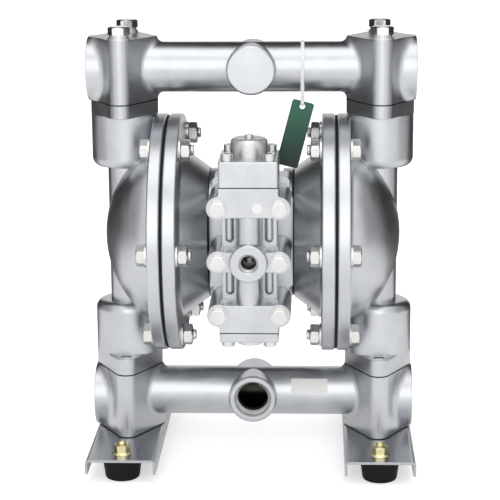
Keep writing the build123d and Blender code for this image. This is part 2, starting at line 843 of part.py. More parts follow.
with BuildPart() as centre_body:
    hub_end_x = centre_end_x + hub_length
    for side in sides:
        disc(across(0, side), barrel_radius, centre_end_x)
        disc(across(centre_end_x, side), end_plate_radius, -end_plate_thickness)
        disc(across(centre_end_x, side), hub_radius, hub_length)
    with BuildSketch(facing(mount_face_y, 0, centre_z)):
        Rectangle(2 * centre_end_x, 2 * end_plate_radius)
    extrude(amount=end_plate_radius, mode=Mode.SUBTRACT)
    box_height = mount_box_top + mount_box_bottom
    box_middle = centre_z + (mount_box_top - mount_box_bottom) / 2
    with BuildSketch(facing(mount_face_y + mount_box_depth, 0, box_middle)):
        RectangleRounded(mount_box_width, box_height, mount_box_fillet)
    extrude(amount=mount_box_depth)
    disc(facing(exhaust_boss_reach, 0, centre_z), exhaust_boss_radius, exhaust_boss_reach)
    exhaust_rim = (
        centre_body.edges().filter_by(GeomType.CIRCLE).sort_by(lambda e: e.center().Y)[-1]
    )
    chamfer(exhaust_rim, branch_edge)
    for side in sides:
        disc(across(0, side), shaft_radius + bolt_clearance, hub_end_x, mode=Mode.SUBTRACT)
        bearing_depth = bushing_length + shaft_seal_length
        disc(
            across(hub_end_x - bearing_depth, side), bushing_radius + thread_fit,
            bearing_depth, mode=Mode.SUBTRACT,
        )
        disc(
            across(centre_end_x - end_plate_thickness, side), m8_radius + thread_fit,
            end_plate_thickness, air_screw_places, Mode.SUBTRACT,
        )
        pin_hole = pilot_pin_length - pilot_pin_travel - gasket
        disc(
            across(centre_end_x - pin_hole, side), pilot_pin_radius + running_fit,
            pin_hole, [(0, pilot_pin_circle)], Mode.SUBTRACT,
        )
    disc(
        facing(exhaust_boss_reach, 0, centre_z), exhaust_port_radius, exhaust_port_depth,
        mode=Mode.SUBTRACT,
    )
    disc(
        facing(exhaust_boss_reach, 0, centre_z), exhaust_passage_radius,
        exhaust_port_depth + exhaust_passage_depth, mode=Mode.SUBTRACT,
    )
    exhaust_mouth_rim = (
        centre_body.edges()
        .filter_by(GeomType.CIRCLE)
        .filter_by(lambda e: abs(e.radius - exhaust_port_radius) < pick_tolerance)
        .sort_by(Axis.Y)[-1]
    )
    chamfer(exhaust_mouth_rim, exhaust_mouth - exhaust_port_radius)
    valve_bolt_reach = valve_bolt_length - valve_depth - m8_washer - gasket
    disc(
        facing(mount_face_y, 0, valve_z), m8_radius + thread_fit,
        -(valve_bolt_reach + screw_tip_gap), lobe_places, Mode.SUBTRACT,
    )
centre_body.part.label = "centre_body"
export_step(centre_body.part, "parts/centre_body.step")

with BuildPart() as shaft_bushings:
    for side in sides:
        start_x = hub_end_x - shaft_seal_length - bushing_length
        ring(across(start_x, side), bushing_radius, shaft_radius + running_fit, bushing_length)
shaft_bushings.part.label = "shaft_bushings"
export_step(shaft_bushings.part, "parts/shaft_bushings.step")

with BuildPart() as shaft_seals:
    for side in sides:
        start_x = hub_end_x - shaft_seal_length
        ring(across(start_x, side), bushing_radius, shaft_radius + running_fit, shaft_seal_length)
shaft_seals.part.label = "shaft_seals"
export_step(shaft_seals.part, "parts/shaft_seals.step")

# Pilot pins, drawn pushed in, level with the inner discs at the end of the stroke

pin_tip_x = shaft_end_x - shaft_stroke - loose_fit

with BuildPart() as pilot_pin_right:
    disc(across(pin_tip_x, 1), pilot_pin_radius, -pilot_pin_length, [(0, pilot_pin_circle)])
    pin_rims = pilot_pin_right.edges().filter_by(GeomType.CIRCLE)
    chamfer(pin_rims, fastener_edge)
pilot_pin_right.part.label = "pilot_pin_right"
export_step(pilot_pin_right.part, "parts/pilot_pin_right.step")

with BuildPart() as pilot_pin_left:
    mirror(pilot_pin_right.part, about=Plane.YZ)
pilot_pin_left.part.label = "pilot_pin_left"
export_step(pilot_pin_left.part, "parts/pilot_pin_left.step")

# Air valve body: three lobed bars on a set back core, with a column and ribs between them

with BuildPart() as valve_body:
    with BuildSketch(facing(valve_rear_y, 0, valve_z)) as bars:
        for low, high in (
            (top_bar_bottom, valve_top),
            (-middle_bar_bottom, middle_bar_top),
            (-valve_bottom, -bottom_bar_top),
        ):
            with Locations((0, low)):
                Rectangle(valve_width, high - low, align=(Align.CENTER, Align.MIN))
        with Locations(*lobe_places):
            Circle(lobe_radius)
        lobe_corners = bars.vertices().filter_by(
            lambda v: abs(abs(v.X) - valve_width / 2) < pick_tolerance
            and row_pitch < abs(v.Y) < row_pitch + lobe_radius
        )
        fillet(lobe_corners, lobe_fillet)
    extrude(amount=valve_depth)
    column_y = front_column_radius - valve_depth
    with BuildSketch(level(valve_bottom_z, 0, valve_rear_y)):
        Rectangle(core_width, valve_depth - core_setback, align=(Align.CENTER, Align.MAX))
        with Locations((0, column_y)):
            Circle(front_column_radius)
            Rectangle(2 * front_column_radius, core_setback, align=(Align.CENTER, Align.MIN))
    extrude(amount=valve_top + valve_bottom)
    for low, high in (
        (middle_bar_top, top_bar_bottom), (-bottom_bar_top, -middle_bar_bottom),
    ):
        rib_foot = low + side_rib_gap + side_rib_radius
        for side in sides:
            rib_x = side * side_rib_spacing / 2
            disc(level(valve_z + rib_foot, rib_x, core_front_y), side_rib_radius, high - rib_foot)
            with Locations((rib_x, core_front_y, valve_z + rib_foot)):
                Sphere(side_rib_radius)
    boss_face = facing(valve_front_y - air_boss_reach, 0, valve_z)
    disc(boss_face, air_boss_radius, -(core_setback + air_boss_reach))
    boss_rim = valve_body.edges().filter_by(GeomType.CIRCLE).sort_by(lambda e: e.center().Y)[0]
    chamfer(boss_rim, fastener_edge)
    disc(
        level(valve_bottom_z, 0, valve_mid_y), sleeve_radius + seat_fit, valve_top + valve_bottom,
        mode=Mode.SUBTRACT,
    )
    disc(
        facing(valve_rear_y, 0, valve_z), m8_radius + bolt_clearance, valve_depth,
        lobe_places, Mode.SUBTRACT,
    )
    disc(boss_face, air_port_radius, -air_port_depth, mode=Mode.SUBTRACT)
    disc(boss_face, air_passage_radius, -valve_depth / 2, mode=Mode.SUBTRACT)
    port_edge = (
        valve_body.edges()
        .filter_by(GeomType.CIRCLE)
        .filter_by(lambda e: abs(e.radius - air_port_radius) < pick_tolerance)
        .sort_by(Axis.Y)[0]
    )
    chamfer(port_edge, air_port_mouth - air_port_radius)
    disc(
        level(valve_bottom_z, 0, valve_mid_y), m6_radius + thread_fit, cover_screw_grip,
        cover_screw_places, Mode.SUBTRACT,
    )
    disc(
        level(valve_top_z, 0, valve_mid_y), m6_radius + thread_fit, -cover_screw_grip,
        cover_screw_places, Mode.SUBTRACT,
    )
valve_body.part.label = "valve_body"
export_step(valve_body.part, "parts/valve_body.step")

with BuildPart() as valve_body_gasket:
    with BuildSketch(facing(mount_face_y, 0, valve_z)):
        Rectangle(core_width, 2 * row_pitch)
        with Locations(*lobe_places):
            Circle(m8_washer_radius)
        with Locations(*lobe_places):
            Circle(m8_radius + bolt_clearance, mode=Mode.SUBTRACT)
    extrude(amount=gasket)
valve_body_gasket.part.label = "valve_body_gasket"
export_step(valve_body_gasket.part, "parts/valve_body_gasket.step")

with BuildPart() as valve_bolt_washers:
    ring(
        facing(valve_front_y, 0, valve_z), m8_washer_radius, m8_radius + thread_fit,
        m8_washer, lobe_places,
    )
valve_bolt_washers.part.label = "valve_bolt_washers"
export_step(valve_bolt_washers.part, "parts/valve_bolt_washers.step")

with BuildPart() as valve_bolts:
    head_seat_y = valve_front_y - m8_washer
    disc(facing(head_seat_y, 0, valve_z), m8_radius, -valve_bolt_length, lobe_places)
    hexagon(facing(head_seat_y, 0, valve_z), m8_flats, m8_head, lobe_places)
valve_bolts.part.label = "valve_bolts"
export_step(valve_bolts.part, "parts/valve_bolts.step")

# Covers of the air valve, the reset button with its cap, and the plug underneath

with BuildPart() as top_cover_gasket:
    with BuildSketch(level(valve_top_z, 0, valve_mid_y)):
        RectangleRounded(valve_width, valve_depth, cover_corner_radius)
        Circle(spool_radius, mode=Mode.SUBTRACT)
        with Locations(*cover_screw_places):
            Circle(m6_radius + bolt_clearance, mode=Mode.SUBTRACT)
    extrude(amount=gasket)
top_cover_gasket.part.label = "top_cover_gasket"
export_step(top_cover_gasket.part, "parts/top_cover_gasket.step")

with BuildPart() as valve_top_cover:
    cover_z = valve_top_z + gasket
    cover_top_z = cover_z + top_cover_height
    with BuildSketch(level(cover_z, 0, valve_mid_y)):
        RectangleRounded(valve_width, valve_depth, cover_corner_radius)
    extrude(amount=top_cover_height)
    top_edges = valve_top_cover.faces().sort_by(Axis.Z)[-1].edges()
    chamfer(top_edges, cover_edge)
    disc(
        level(cover_z, 0, valve_mid_y), m6_radius + bolt_clearance, top_cover_height,
        cover_screw_places, Mode.SUBTRACT,
    )
    disc(level(cover_z, 0, valve_mid_y), spool_radius, spool_travel, mode=Mode.SUBTRACT)
valve_top_cover.part.label = "valve_top_cover"
export_step(valve_top_cover.part, "parts/valve_top_cover.step")

with BuildPart() as reset_cap:
    disc(level(cover_top_z, 0, valve_mid_y), reset_cap_radius, reset_cap_height)
    cap_rim = reset_cap.edges().filter_by(GeomType.CIRCLE).sort_by(Axis.Z)[-1]
    fillet(cap_rim, reset_cap_rounding)
    disc(
        level(cover_top_z, 0, valve_mid_y), reset_cavity_radius,
        reset_cap_height - reset_cap_wall, mode=Mode.SUBTRACT,
    )
    disc(
        level(cover_top_z, 0, valve_mid_y), reset_button_radius + loose_fit, reset_cap_height,
        mode=Mode.SUBTRACT,
    )
reset_cap.part.label = "reset_cap"
export_step(reset_cap.part, "parts/reset_cap.step")

with BuildPart() as reset_button:
    roof_z = cover_top_z + reset_cap_height - reset_cap_wall
    collar_z = roof_z - reset_button_collar - running_fit
    stem_length = reset_button_collar + reset_cap_wall + reset_button_reach
    disc(level(collar_z, 0, valve_mid_y), reset_button_radius, stem_length)
    button_rim = reset_button.edges().filter_by(GeomType.CIRCLE).sort_by(Axis.Z)[-1]
    fillet(button_rim, fastener_edge)
    disc(level(collar_z, 0, valve_mid_y), reset_button_collar_radius, reset_button_collar)
reset_button.part.label = "reset_button"
export_step(reset_button.part, "parts/reset_button.step")

with BuildPart() as reset_spring:
    ring(
        level(cover_top_z, 0, valve_mid_y), reset_spring_radius,
        reset_spring_radius - reset_spring_wire, collar_z - cover_top_z,
    )
reset_spring.part.label = "reset_spring"
export_step(reset_spring.part, "parts/reset_spring.step")

with BuildPart() as top_cover_screws:
    screw_reach = top_cover_height + gasket + cover_screw_grip - screw_tip_gap
    disc(level(cover_top_z, 0, valve_mid_y), m6_radius, -screw_reach, cover_screw_places)
    disc(level(cover_top_z, 0, valve_mid_y), m6_head_radius, m6_head, cover_screw_places)
    hexagon(
        level(cover_top_z + m6_head - m6_socket_depth, 0, valve_mid_y), m6_socket_flats,
        m6_socket_depth, cover_screw_places, Mode.SUBTRACT,
    )
top_cover_screws.part.label = "top_cover_screws"
export_step(top_cover_screws.part, "parts/top_cover_screws.step")

with BuildPart() as bottom_cover_gasket:
    with BuildSketch(level(valve_bottom_z - gasket, 0, valve_mid_y)):
        RectangleRounded(valve_width, valve_depth, cover_corner_radius)
        Circle(spool_radius, mode=Mode.SUBTRACT)
        with Locations(*cover_screw_places):
            Circle(m6_radius + bolt_clearance, mode=Mode.SUBTRACT)
    extrude(amount=gasket)
bottom_cover_gasket.part.label = "bottom_cover_gasket"
export_step(bottom_cover_gasket.part, "parts/bottom_cover_gasket.step")

with BuildPart() as valve_bottom_cover:
    plate_top_z = valve_bottom_z - gasket
    plate_z = plate_top_z - bottom_cover_height
    with BuildSketch(level(plate_z, 0, valve_mid_y)):
        RectangleRounded(valve_width, valve_depth, cover_corner_radius)
        Circle(bottom_plug_stem_radius + seat_fit, mode=Mode.SUBTRACT)
        with Locations(*cover_screw_places):
            Circle(m6_radius + bolt_clearance, mode=Mode.SUBTRACT)
    extrude(amount=bottom_cover_height)
valve_bottom_cover.part.label = "valve_bottom_cover"
export_step(valve_bottom_cover.part, "parts/valve_bottom_cover.step")

with BuildPart() as bottom_plug:
    disc(level(plate_z, 0, valve_mid_y), bottom_plug_radius, -bottom_plug_height)
    plug_rim = bottom_plug.edges().filter_by(GeomType.CIRCLE).sort_by(Axis.Z)[0]
    chamfer(plug_rim, fastener_edge)
    disc(level(plate_z, 0, valve_mid_y), bottom_plug_stem_radius, bottom_cover_height)
bottom_plug.part.label = "bottom_plug"
export_step(bottom_plug.part, "parts/bottom_plug.step")

with BuildPart() as bottom_cover_screws:
    screw_reach = bottom_cover_height + gasket + cover_screw_grip - screw_tip_gap
    disc(level(plate_z, 0, valve_mid_y), m6_radius, screw_reach, cover_screw_places)
    hexagon(level(plate_z, 0, valve_mid_y), m6_flats, -m6_hex_head, cover_screw_places)
bottom_cover_screws.part.label = "bottom_cover_screws"
export_step(bottom_cover_screws.part, "parts/bottom_cover_screws.step")

# Sleeve and spool inside the air valve

with BuildPart() as valve_sleeve:
    sleeve_length = valve_top + valve_bottom
    ring(
        level(valve_bottom_z, 0, valve_mid_y), sleeve_radius, spool_radius + running_fit,
        sleeve_length,
    )
    for row in range(-1, spool_land_count - 1):
        groove_z = valve_z + row * spool_land_pitch - sleeve_groove_width / 2
        with BuildSketch(level(groove_z, 0, valve_mid_y)):
            Circle(sleeve_radius + cutter_margin)
            Circle(sleeve_radius - sleeve_groove_depth, mode=Mode.SUBTRACT)
        extrude(amount=sleeve_groove_width, mode=Mode.SUBTRACT)
        disc(
            facing(valve_mid_y + sleeve_radius, 0, valve_z + row * spool_land_pitch),
            sleeve_port_radius, 2 * sleeve_radius, mode=Mode.SUBTRACT,
        )
valve_sleeve.part.label = "valve_sleeve"
export_step(valve_sleeve.part, "parts/valve_sleeve.step")

with BuildPart() as valve_spool:
    spool_length = (spool_land_count - 1) * spool_land_pitch + spool_land_length
    spool_base_z = valve_z - spool_length / 2
    disc(level(spool_base_z, 0, valve_mid_y), spool_neck_radius, spool_length)
    for row in range(spool_land_count):
        land_z = spool_base_z + row * spool_land_pitch
        disc(level(land_z, 0, valve_mid_y), spool_radius - running_fit, spool_land_length)
        ring_z = land_z + (spool_land_length - spool_ring_width) / 2
        with BuildSketch(level(ring_z, 0, valve_mid_y)):
            Circle(spool_radius + cutter_margin)
            Circle(spool_radius - spool_ring_depth, mode=Mode.SUBTRACT)
        extrude(amount=spool_ring_width, mode=Mode.SUBTRACT)
valve_spool.part.label = "valve_spool"
export_step(valve_spool.part, "parts/valve_spool.step")

with BuildPart() as spool_rings:
    for row in range(spool_land_count):
        land_z = spool_base_z + row * spool_land_pitch
        ring_z = land_z + (spool_land_length - spool_ring_width) / 2
        ring(
            level(ring_z, 0, valve_mid_y), spool_radius - running_fit / 2,
            spool_radius - spool_ring_depth, spool_ring_width,
        )
spool_rings.part.label = "spool_rings"
export_step(spool_rings.part, "parts/spool_rings.step")

# Check valves: seats with their seals, cages and balls

seat_bases = [(sx, z) for sx in sides for z in (outlet_seat_z, inlet_seat_z)]
seal_base = (seat_height - seat_seal_height) / 2

with BuildPart() as ball_seats:
    for side, base_z in seat_bases:
        ring(level(base_z, side * column_offset), seat_radius, seat_bore_radius, seat_height)
        with BuildSketch(level(base_z + seal_base, side * column_offset)):
            Circle(seat_radius + cutter_margin)
            Circle(seat_radius - seat_seal_width, mode=Mode.SUBTRACT)
        extrude(amount=seat_seal_height, mode=Mode.SUBTRACT)
ball_seats.part.label = "ball_seats"
export_step(ball_seats.part, "parts/ball_seats.step")

with BuildPart() as seat_seals:
    for side, base_z in seat_bases:
        ring(
            level(base_z + seal_base, side * column_offset), seat_radius + seat_fit / 2,
            seat_radius - seat_seal_width, seat_seal_height,
        )
seat_seals.part.label = "seat_seals"
export_step(seat_seals.part, "parts/seat_seals.step")

with BuildPart() as ball_guides:
    guide_radius = cage_radius - 2 * seat_fit
    for side, base_z in seat_bases:
        guide_base = level(base_z + seat_height, side * column_offset)
        with BuildSketch(guide_base):
            rib_circle = guide_radius - cage_rib_depth / 2
            with PolarLocations(rib_circle, cage_rib_count, 180 / cage_rib_count):
                Rectangle(cage_rib_depth, cage_rib_width)
        extrude(amount=cage_height)
        ring(
            level(base_z + seat_height + cage_ring_base, side * column_offset),
            guide_radius - cage_rib_depth + cage_ring_overlap,
            seat_bore_radius - cage_ring_inset, cage_ring_height,
        )
ball_guides.part.label = "ball_guides"
export_step(ball_guides.part, "parts/ball_guides.step")

with BuildPart() as outlet_ball_right:
    with Locations((column_offset, 0, outlet_seat_z + seat_height + ball_rest)):
        Sphere(ball_radius)
outlet_ball_right.part.label = "outlet_ball_right"
export_step(outlet_ball_right.part, "parts/outlet_ball_right.step")

with BuildPart() as outlet_ball_left:
    mirror(outlet_ball_right.part, about=Plane.YZ)
outlet_ball_left.part.label = "outlet_ball_left"
export_step(outlet_ball_left.part, "parts/outlet_ball_left.step")

with BuildPart() as inlet_ball_right:
    with Locations((column_offset, 0, inlet_seat_z + seat_height + ball_rest)):
        Sphere(ball_radius)
inlet_ball_right.part.label = "inlet_ball_right"
export_step(inlet_ball_right.part, "parts/inlet_ball_right.step")

with BuildPart() as inlet_ball_left:
    mirror(inlet_ball_right.part, about=Plane.YZ)
inlet_ball_left.part.label = "inlet_ball_left"
export_step(inlet_ball_left.part, "parts/inlet_ball_left.step")

# Fasteners of the chamber flanges

with BuildPart() as flange_washers:
    for side in sides:
        for seat_x, thickness in ((liquid_flange_x, m10_washer), (air_flange_x, -m10_washer)):
            ring(
                across(seat_x, side), m10_washer_radius, m10_radius + thread_fit,
                thickness, flange_places,
            )
flange_washers.part.label = "flange_washers"
export_step(flange_washers.part, "parts/flange_washers.step")

with BuildPart() as flange_bolts:
    for side in sides:
        head_plane = across(liquid_flange_x + m10_washer, side)
        disc(head_plane, m10_radius, -flange_bolt_length, flange_places)
        hexagon(head_plane, m10_flats, m10_head, flange_places)
flange_bolts.part.label = "flange_bolts"
export_step(flange_bolts.part, "parts/flange_bolts.step")

with BuildPart() as flange_nuts:
    for side in sides:
        nut_plane = across(air_flange_x - m10_washer, side)
        hexagon(nut_plane, m10_flats, -m10_nut, flange_places)
        disc(nut_plane, m10_radius + thread_fit, -m10_nut, flange_places, Mode.SUBTRACT)
flange_nuts.part.label = "flange_nuts"
export_step(flange_nuts.part, "parts/flange_nuts.step")

# Fasteners of the manifolds

with BuildPart() as manifold_flat_washers:
    ring(level(outlet_top), m10_washer_radius, m10_radius + thread_fit, m10_washer, pillar_places)
    ring(level(foot_height), m10_washer_radius, m10_radius + thread_fit, -m10_washer, pillar_places)
manifold_flat_washers.part.label = "manifold_flat_washers"
export_step(manifold_flat_washers.part, "parts/manifold_flat_washers.step")

with BuildPart() as manifold_spring_washers:
    for washer_z, grow in ((outlet_top + m10_washer, 1), (foot_height - m10_washer, -1)):
        ring(
            level(washer_z), m10_spring_washer_radius, m10_radius + thread_fit,
            grow * m10_spring_washer, pillar_places,
        )
        with BuildSketch(level(washer_z)):
            with Locations(*pillar_places):
                Rectangle(
                    m10_spring_washer_radius + cutter_margin, m10_spring_washer_gap,
                    align=(Align.MIN, Align.CENTER),
                )
        extrude(amount=grow * m10_spring_washer, mode=Mode.SUBTRACT)
manifold_spring_washers.part.label = "manifold_spring_washers"
export_step(manifold_spring_washers.part, "parts/manifold_spring_washers.step")

with BuildPart() as upper_manifold_bolts:
    head_z = outlet_top + m10_washer + m10_spring_washer
    disc(level(head_z), m10_radius, -upper_bolt_length, pillar_places)
    hexagon(level(head_z), m10_flats, m10_head, pillar_places)
upper_manifold_bolts.part.label = "upper_manifold_bolts"
export_step(upper_manifold_bolts.part, "parts/upper_manifold_bolts.step")

with BuildPart() as lower_manifold_bolts:
    head_z = foot_height - m10_washer - m10_spring_washer
    disc(level(head_z), m10_radius, lower_bolt_length, pillar_places)
    hexagon(level(head_z), m10_flats, -m10_head, pillar_places)
lower_manifold_bolts.part.label = "lower_manifold_bolts"
export_step(lower_manifold_bolts.part, "parts/lower_manifold_bolts.step")

# Base channels with their rubber feet

with BuildPart() as base_channel_right:
    with BuildSketch(facing(channel_length / 2, column_offset, channel_top)) as channel_section:
        Rectangle(channel_width, channel_depth, align=(Align.CENTER, Align.MAX))
        fillet(channel_section.vertices().group_by(Axis.Y)[-1], channel_bend_radius)
        with Locations((0, -channel_wall)):
            Rectangle(
                channel_width - 2 * channel_wall, channel_depth,
                align=(Align.CENTER, Align.MAX), mode=Mode.SUBTRACT,
            )
    extrude(amount=channel_length)
    disc(
        level(foot_height), m10_radius + bolt_clearance, channel_wall,
        pillar_places[:2], Mode.SUBTRACT,
    )
    disc(
        level(foot_height), foot_stud_radius + bolt_clearance, channel_wall,
        foot_places[:2], Mode.SUBTRACT,
    )
base_channel_right.part.label = "base_channel_right"
export_step(base_channel_right.part, "parts/base_channel_right.step")

with BuildPart() as base_channel_left:
    mirror(base_channel_right.part, about=Plane.YZ)
base_channel_left.part.label = "base_channel_left"
export_step(base_channel_left.part, "parts/base_channel_left.step")

with BuildPart() as rubber_feet:
    for x, y in foot_places:
        foot_axis = Plane(origin=(x, y, 0), x_dir=(1, 0, 0), z_dir=(0, -1, 0))
        with BuildSketch(foot_axis) as foot_section:
            with BuildLine():
                Polyline(
                    (0, 0),
                    (foot_bottom_radius, 0),
                    (foot_top_radius, foot_height),
                    (foot_stud_radius + thread_fit, foot_height),
                    (foot_stud_radius + thread_fit, foot_height - foot_stud_depth),
                    (0, foot_height - foot_stud_depth),
                    close=True,
                )
            make_face()
            tread = foot_section.vertices().sort_by(lambda v: v.X - v.Y)[-1]
            fillet(tread, foot_edge_radius)
        revolve(axis=Axis((x, y, 0), (0, 0, 1)))
rubber_feet.part.label = "rubber_feet"
export_step(rubber_feet.part, "parts/rubber_feet.step")

with BuildPart() as foot_studs:
    stud_base_z = foot_height - foot_stud_depth
    stud_length = channel_top + foot_stud_rise - stud_base_z
    disc(level(stud_base_z), foot_stud_radius, stud_length, foot_places)
foot_studs.part.label = "foot_studs"
export_step(foot_studs.part, "parts/foot_studs.step")

with BuildPart() as foot_nuts:
    disc(level(channel_top), foot_nut_flange_radius, foot_nut_flange_height, foot_places)
    hexagon(level(channel_top), foot_nut_flats, foot_nut_height, foot_places)
    disc(
        level(channel_top), foot_stud_radius + thread_fit, foot_nut_height,
        foot_places, Mode.SUBTRACT,
    )
foot_nuts.part.label = "foot_nuts"
export_step(foot_nuts.part, "parts/foot_nuts.step")

# Nylon tie round the outlet manifold, and the tag that hangs from it

with BuildPart() as tag_tie:
    tie_plane = Plane(origin=(tag_x - tie_width / 2, 0, outlet_z), x_dir=(0, 1, 0), z_dir=(1, 0, 0))
    with BuildSketch(tie_plane):
        for grow, mode in ((tie_thickness, Mode.ADD), (0, Mode.SUBTRACT)):
            with BuildSketch(Plane.XY, mode=mode):
                Circle(tube_radius + loose_fit + grow)
                with Locations((tag_y, -tie_drop)):
                    Circle(tie_loop_radius + grow)
                make_hull()
    extrude(amount=tie_width)
tag_tie.part.label = "tag_tie"
export_step(tag_tie.part, "parts/tag_tie.step")

with BuildPart() as hang_tag:
    tag_origin = Plane(
        origin=(tag_x, tag_y + tag_thickness / 2, hole_z),
        x_dir=(cos(tilt), 0, -sin(tilt)),
        z_dir=(0, -1, 0),
    )
    with BuildSketch(tag_origin):
        with Locations((0, tag_hole_inset - tag_length / 2)):
            RectangleRounded(tag_width, tag_length, tag_corner_radius)
        Circle(tag_hole_radius, mode=Mode.SUBTRACT)
    extrude(amount=tag_thickness)
hang_tag.part.label = "hang_tag"
export_step(hang_tag.part, "parts/hang_tag.step")
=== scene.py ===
"""Looks of the air operated diaphragm pump.

The CAD nodes get their finishes. Bolts, nuts and studs get real heads and threads, the diaphragms
are cut into wedges, the reset spring is copied, and gaskets whose dark edges also stand for the
shade in the joints, labels and a studio are added.
"""

import logging
import math
from dataclasses import dataclass
from enum import Enum
from typing import Iterable, Optional, Sequence

import bmesh
import bpy
from mathutils import Matrix, Vector


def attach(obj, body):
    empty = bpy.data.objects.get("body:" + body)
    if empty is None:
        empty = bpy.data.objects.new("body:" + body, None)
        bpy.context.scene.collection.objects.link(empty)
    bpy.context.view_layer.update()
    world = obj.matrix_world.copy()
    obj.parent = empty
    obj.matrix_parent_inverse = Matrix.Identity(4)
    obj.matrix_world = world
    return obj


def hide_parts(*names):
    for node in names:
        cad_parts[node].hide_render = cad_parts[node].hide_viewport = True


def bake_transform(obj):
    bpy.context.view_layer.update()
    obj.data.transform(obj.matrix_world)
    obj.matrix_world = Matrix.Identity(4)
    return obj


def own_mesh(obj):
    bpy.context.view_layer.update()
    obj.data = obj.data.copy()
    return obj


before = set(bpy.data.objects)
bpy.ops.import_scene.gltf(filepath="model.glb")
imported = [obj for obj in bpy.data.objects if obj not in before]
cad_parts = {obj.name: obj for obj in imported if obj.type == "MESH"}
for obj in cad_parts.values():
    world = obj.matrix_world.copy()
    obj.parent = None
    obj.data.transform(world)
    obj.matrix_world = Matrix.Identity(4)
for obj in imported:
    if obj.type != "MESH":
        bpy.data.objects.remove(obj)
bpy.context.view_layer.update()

log = logging.getLogger("pump")
MM = 0.001
BODY = "pump_body"
WHITE = (1.0, 1.0, 1.0, 1.0)
# Values that a noise mostly keeps to, and distances in metres within which points count as one
# and lie on a plane.
NOISE = {"From Min": 0.3, "From Max": 0.7}
MERGE = 1e-6
ON_PLANE = 1e-7

Point = tuple[float, float, float]
Node = bpy.types.Node
Object = bpy.types.Object
Shape = bmesh.types.BMesh
Socket = bpy.types.NodeSocket
Tree = bpy.types.NodeTree


class Facing(Enum):
    """Directions that a fastener or a port points in, as the turn that brings +Z there."""

    UP = Matrix.Identity(4)
    DOWN = Matrix.Rotation(math.pi, 4, "X")
    FRONT = Matrix.Rotation(math.pi / 2, 4, "X")
    BACK = Matrix.Rotation(-math.pi / 2, 4, "X")
    RIGHT = Matrix.Rotation(math.pi / 2, 4, "Y")
    LEFT = Matrix.Rotation(-math.pi / 2, 4, "Y")


class Axis(Enum):
    """Axes that a passage runs along."""

    X = "X"
    Y = "Y"


def linear(hex_code: str) -> tuple[float, float, float, float]:
    """Turns an sRGB hex colour into the linear colour that shaders take.

    Args:
        hex_code: colour as "#rrggbb".

    Returns:
        Linear red, green, blue and an alpha of 1.
    """
    raw = [int(hex_code[i:i + 2], 16) / 255 for i in (1, 3, 5)]
    red, green, blue = (c / 12.92 if c <= 0.04045 else ((c + 0.055) / 1.055) ** 2.4 for c in raw)
    return (red, green, blue, 1.0)


def add(
    tree: Tree,
    kind: str,
    inputs: Optional[dict[str | int, object]] = None,
    links: Optional[dict[str | int, Socket]] = None,
    **settings: object,
) -> Node:
    """Adds a shader node with its settings, fixed inputs and links.

    Args:
        tree: node tree that gets the node.
        kind: node type, such as "ShaderNodeTexNoise".
        inputs: values of inputs, by name or index.
        links: sockets that feed inputs, by name or index.
        **settings: properties of the node itself.

    Returns:
        The new node.
    """
    node = tree.nodes.new(kind)
    for name, value in settings.items():
        setattr(node, name, value)
    for name, value in (inputs or {}).items():
        node.inputs[name].default_value = value
    for name, socket in (links or {}).items():
        tree.links.new(socket, node.inputs[name])
    return node


def empty_tree(owner: bpy.types.Material | bpy.types.World) -> Tree:
    """Switches on the nodes of a material or world and clears them.

    Args:
        owner: the material or world.

    Returns:
        Its empty node tree.
    """
    owner.use_nodes = True
    owner.node_tree.nodes.clear()
    return owner.node_tree


def link_object(name: str, shape: Shape, material: bpy.types.Material) -> Object:
    """Puts a bmesh into the scene as an object.

    Args:
        name: name of the object and its mesh.
        shape: the bmesh in metres, which is freed.
        material: its material.

    Returns:
        The new object.
    """
    mesh = bpy.data.meshes.new(name)
    shape.to_mesh(mesh)
    shape.free()
    mesh.materials.append(material)
    made = bpy.data.objects.new(name, mesh)
    bpy.context.collection.objects.link(made)
    return made


def per_metre(size_mm: float) -> float:
    """Noise scale that gives features of a real size in millimetres."""
    return 1.0 / (size_mm * MM)


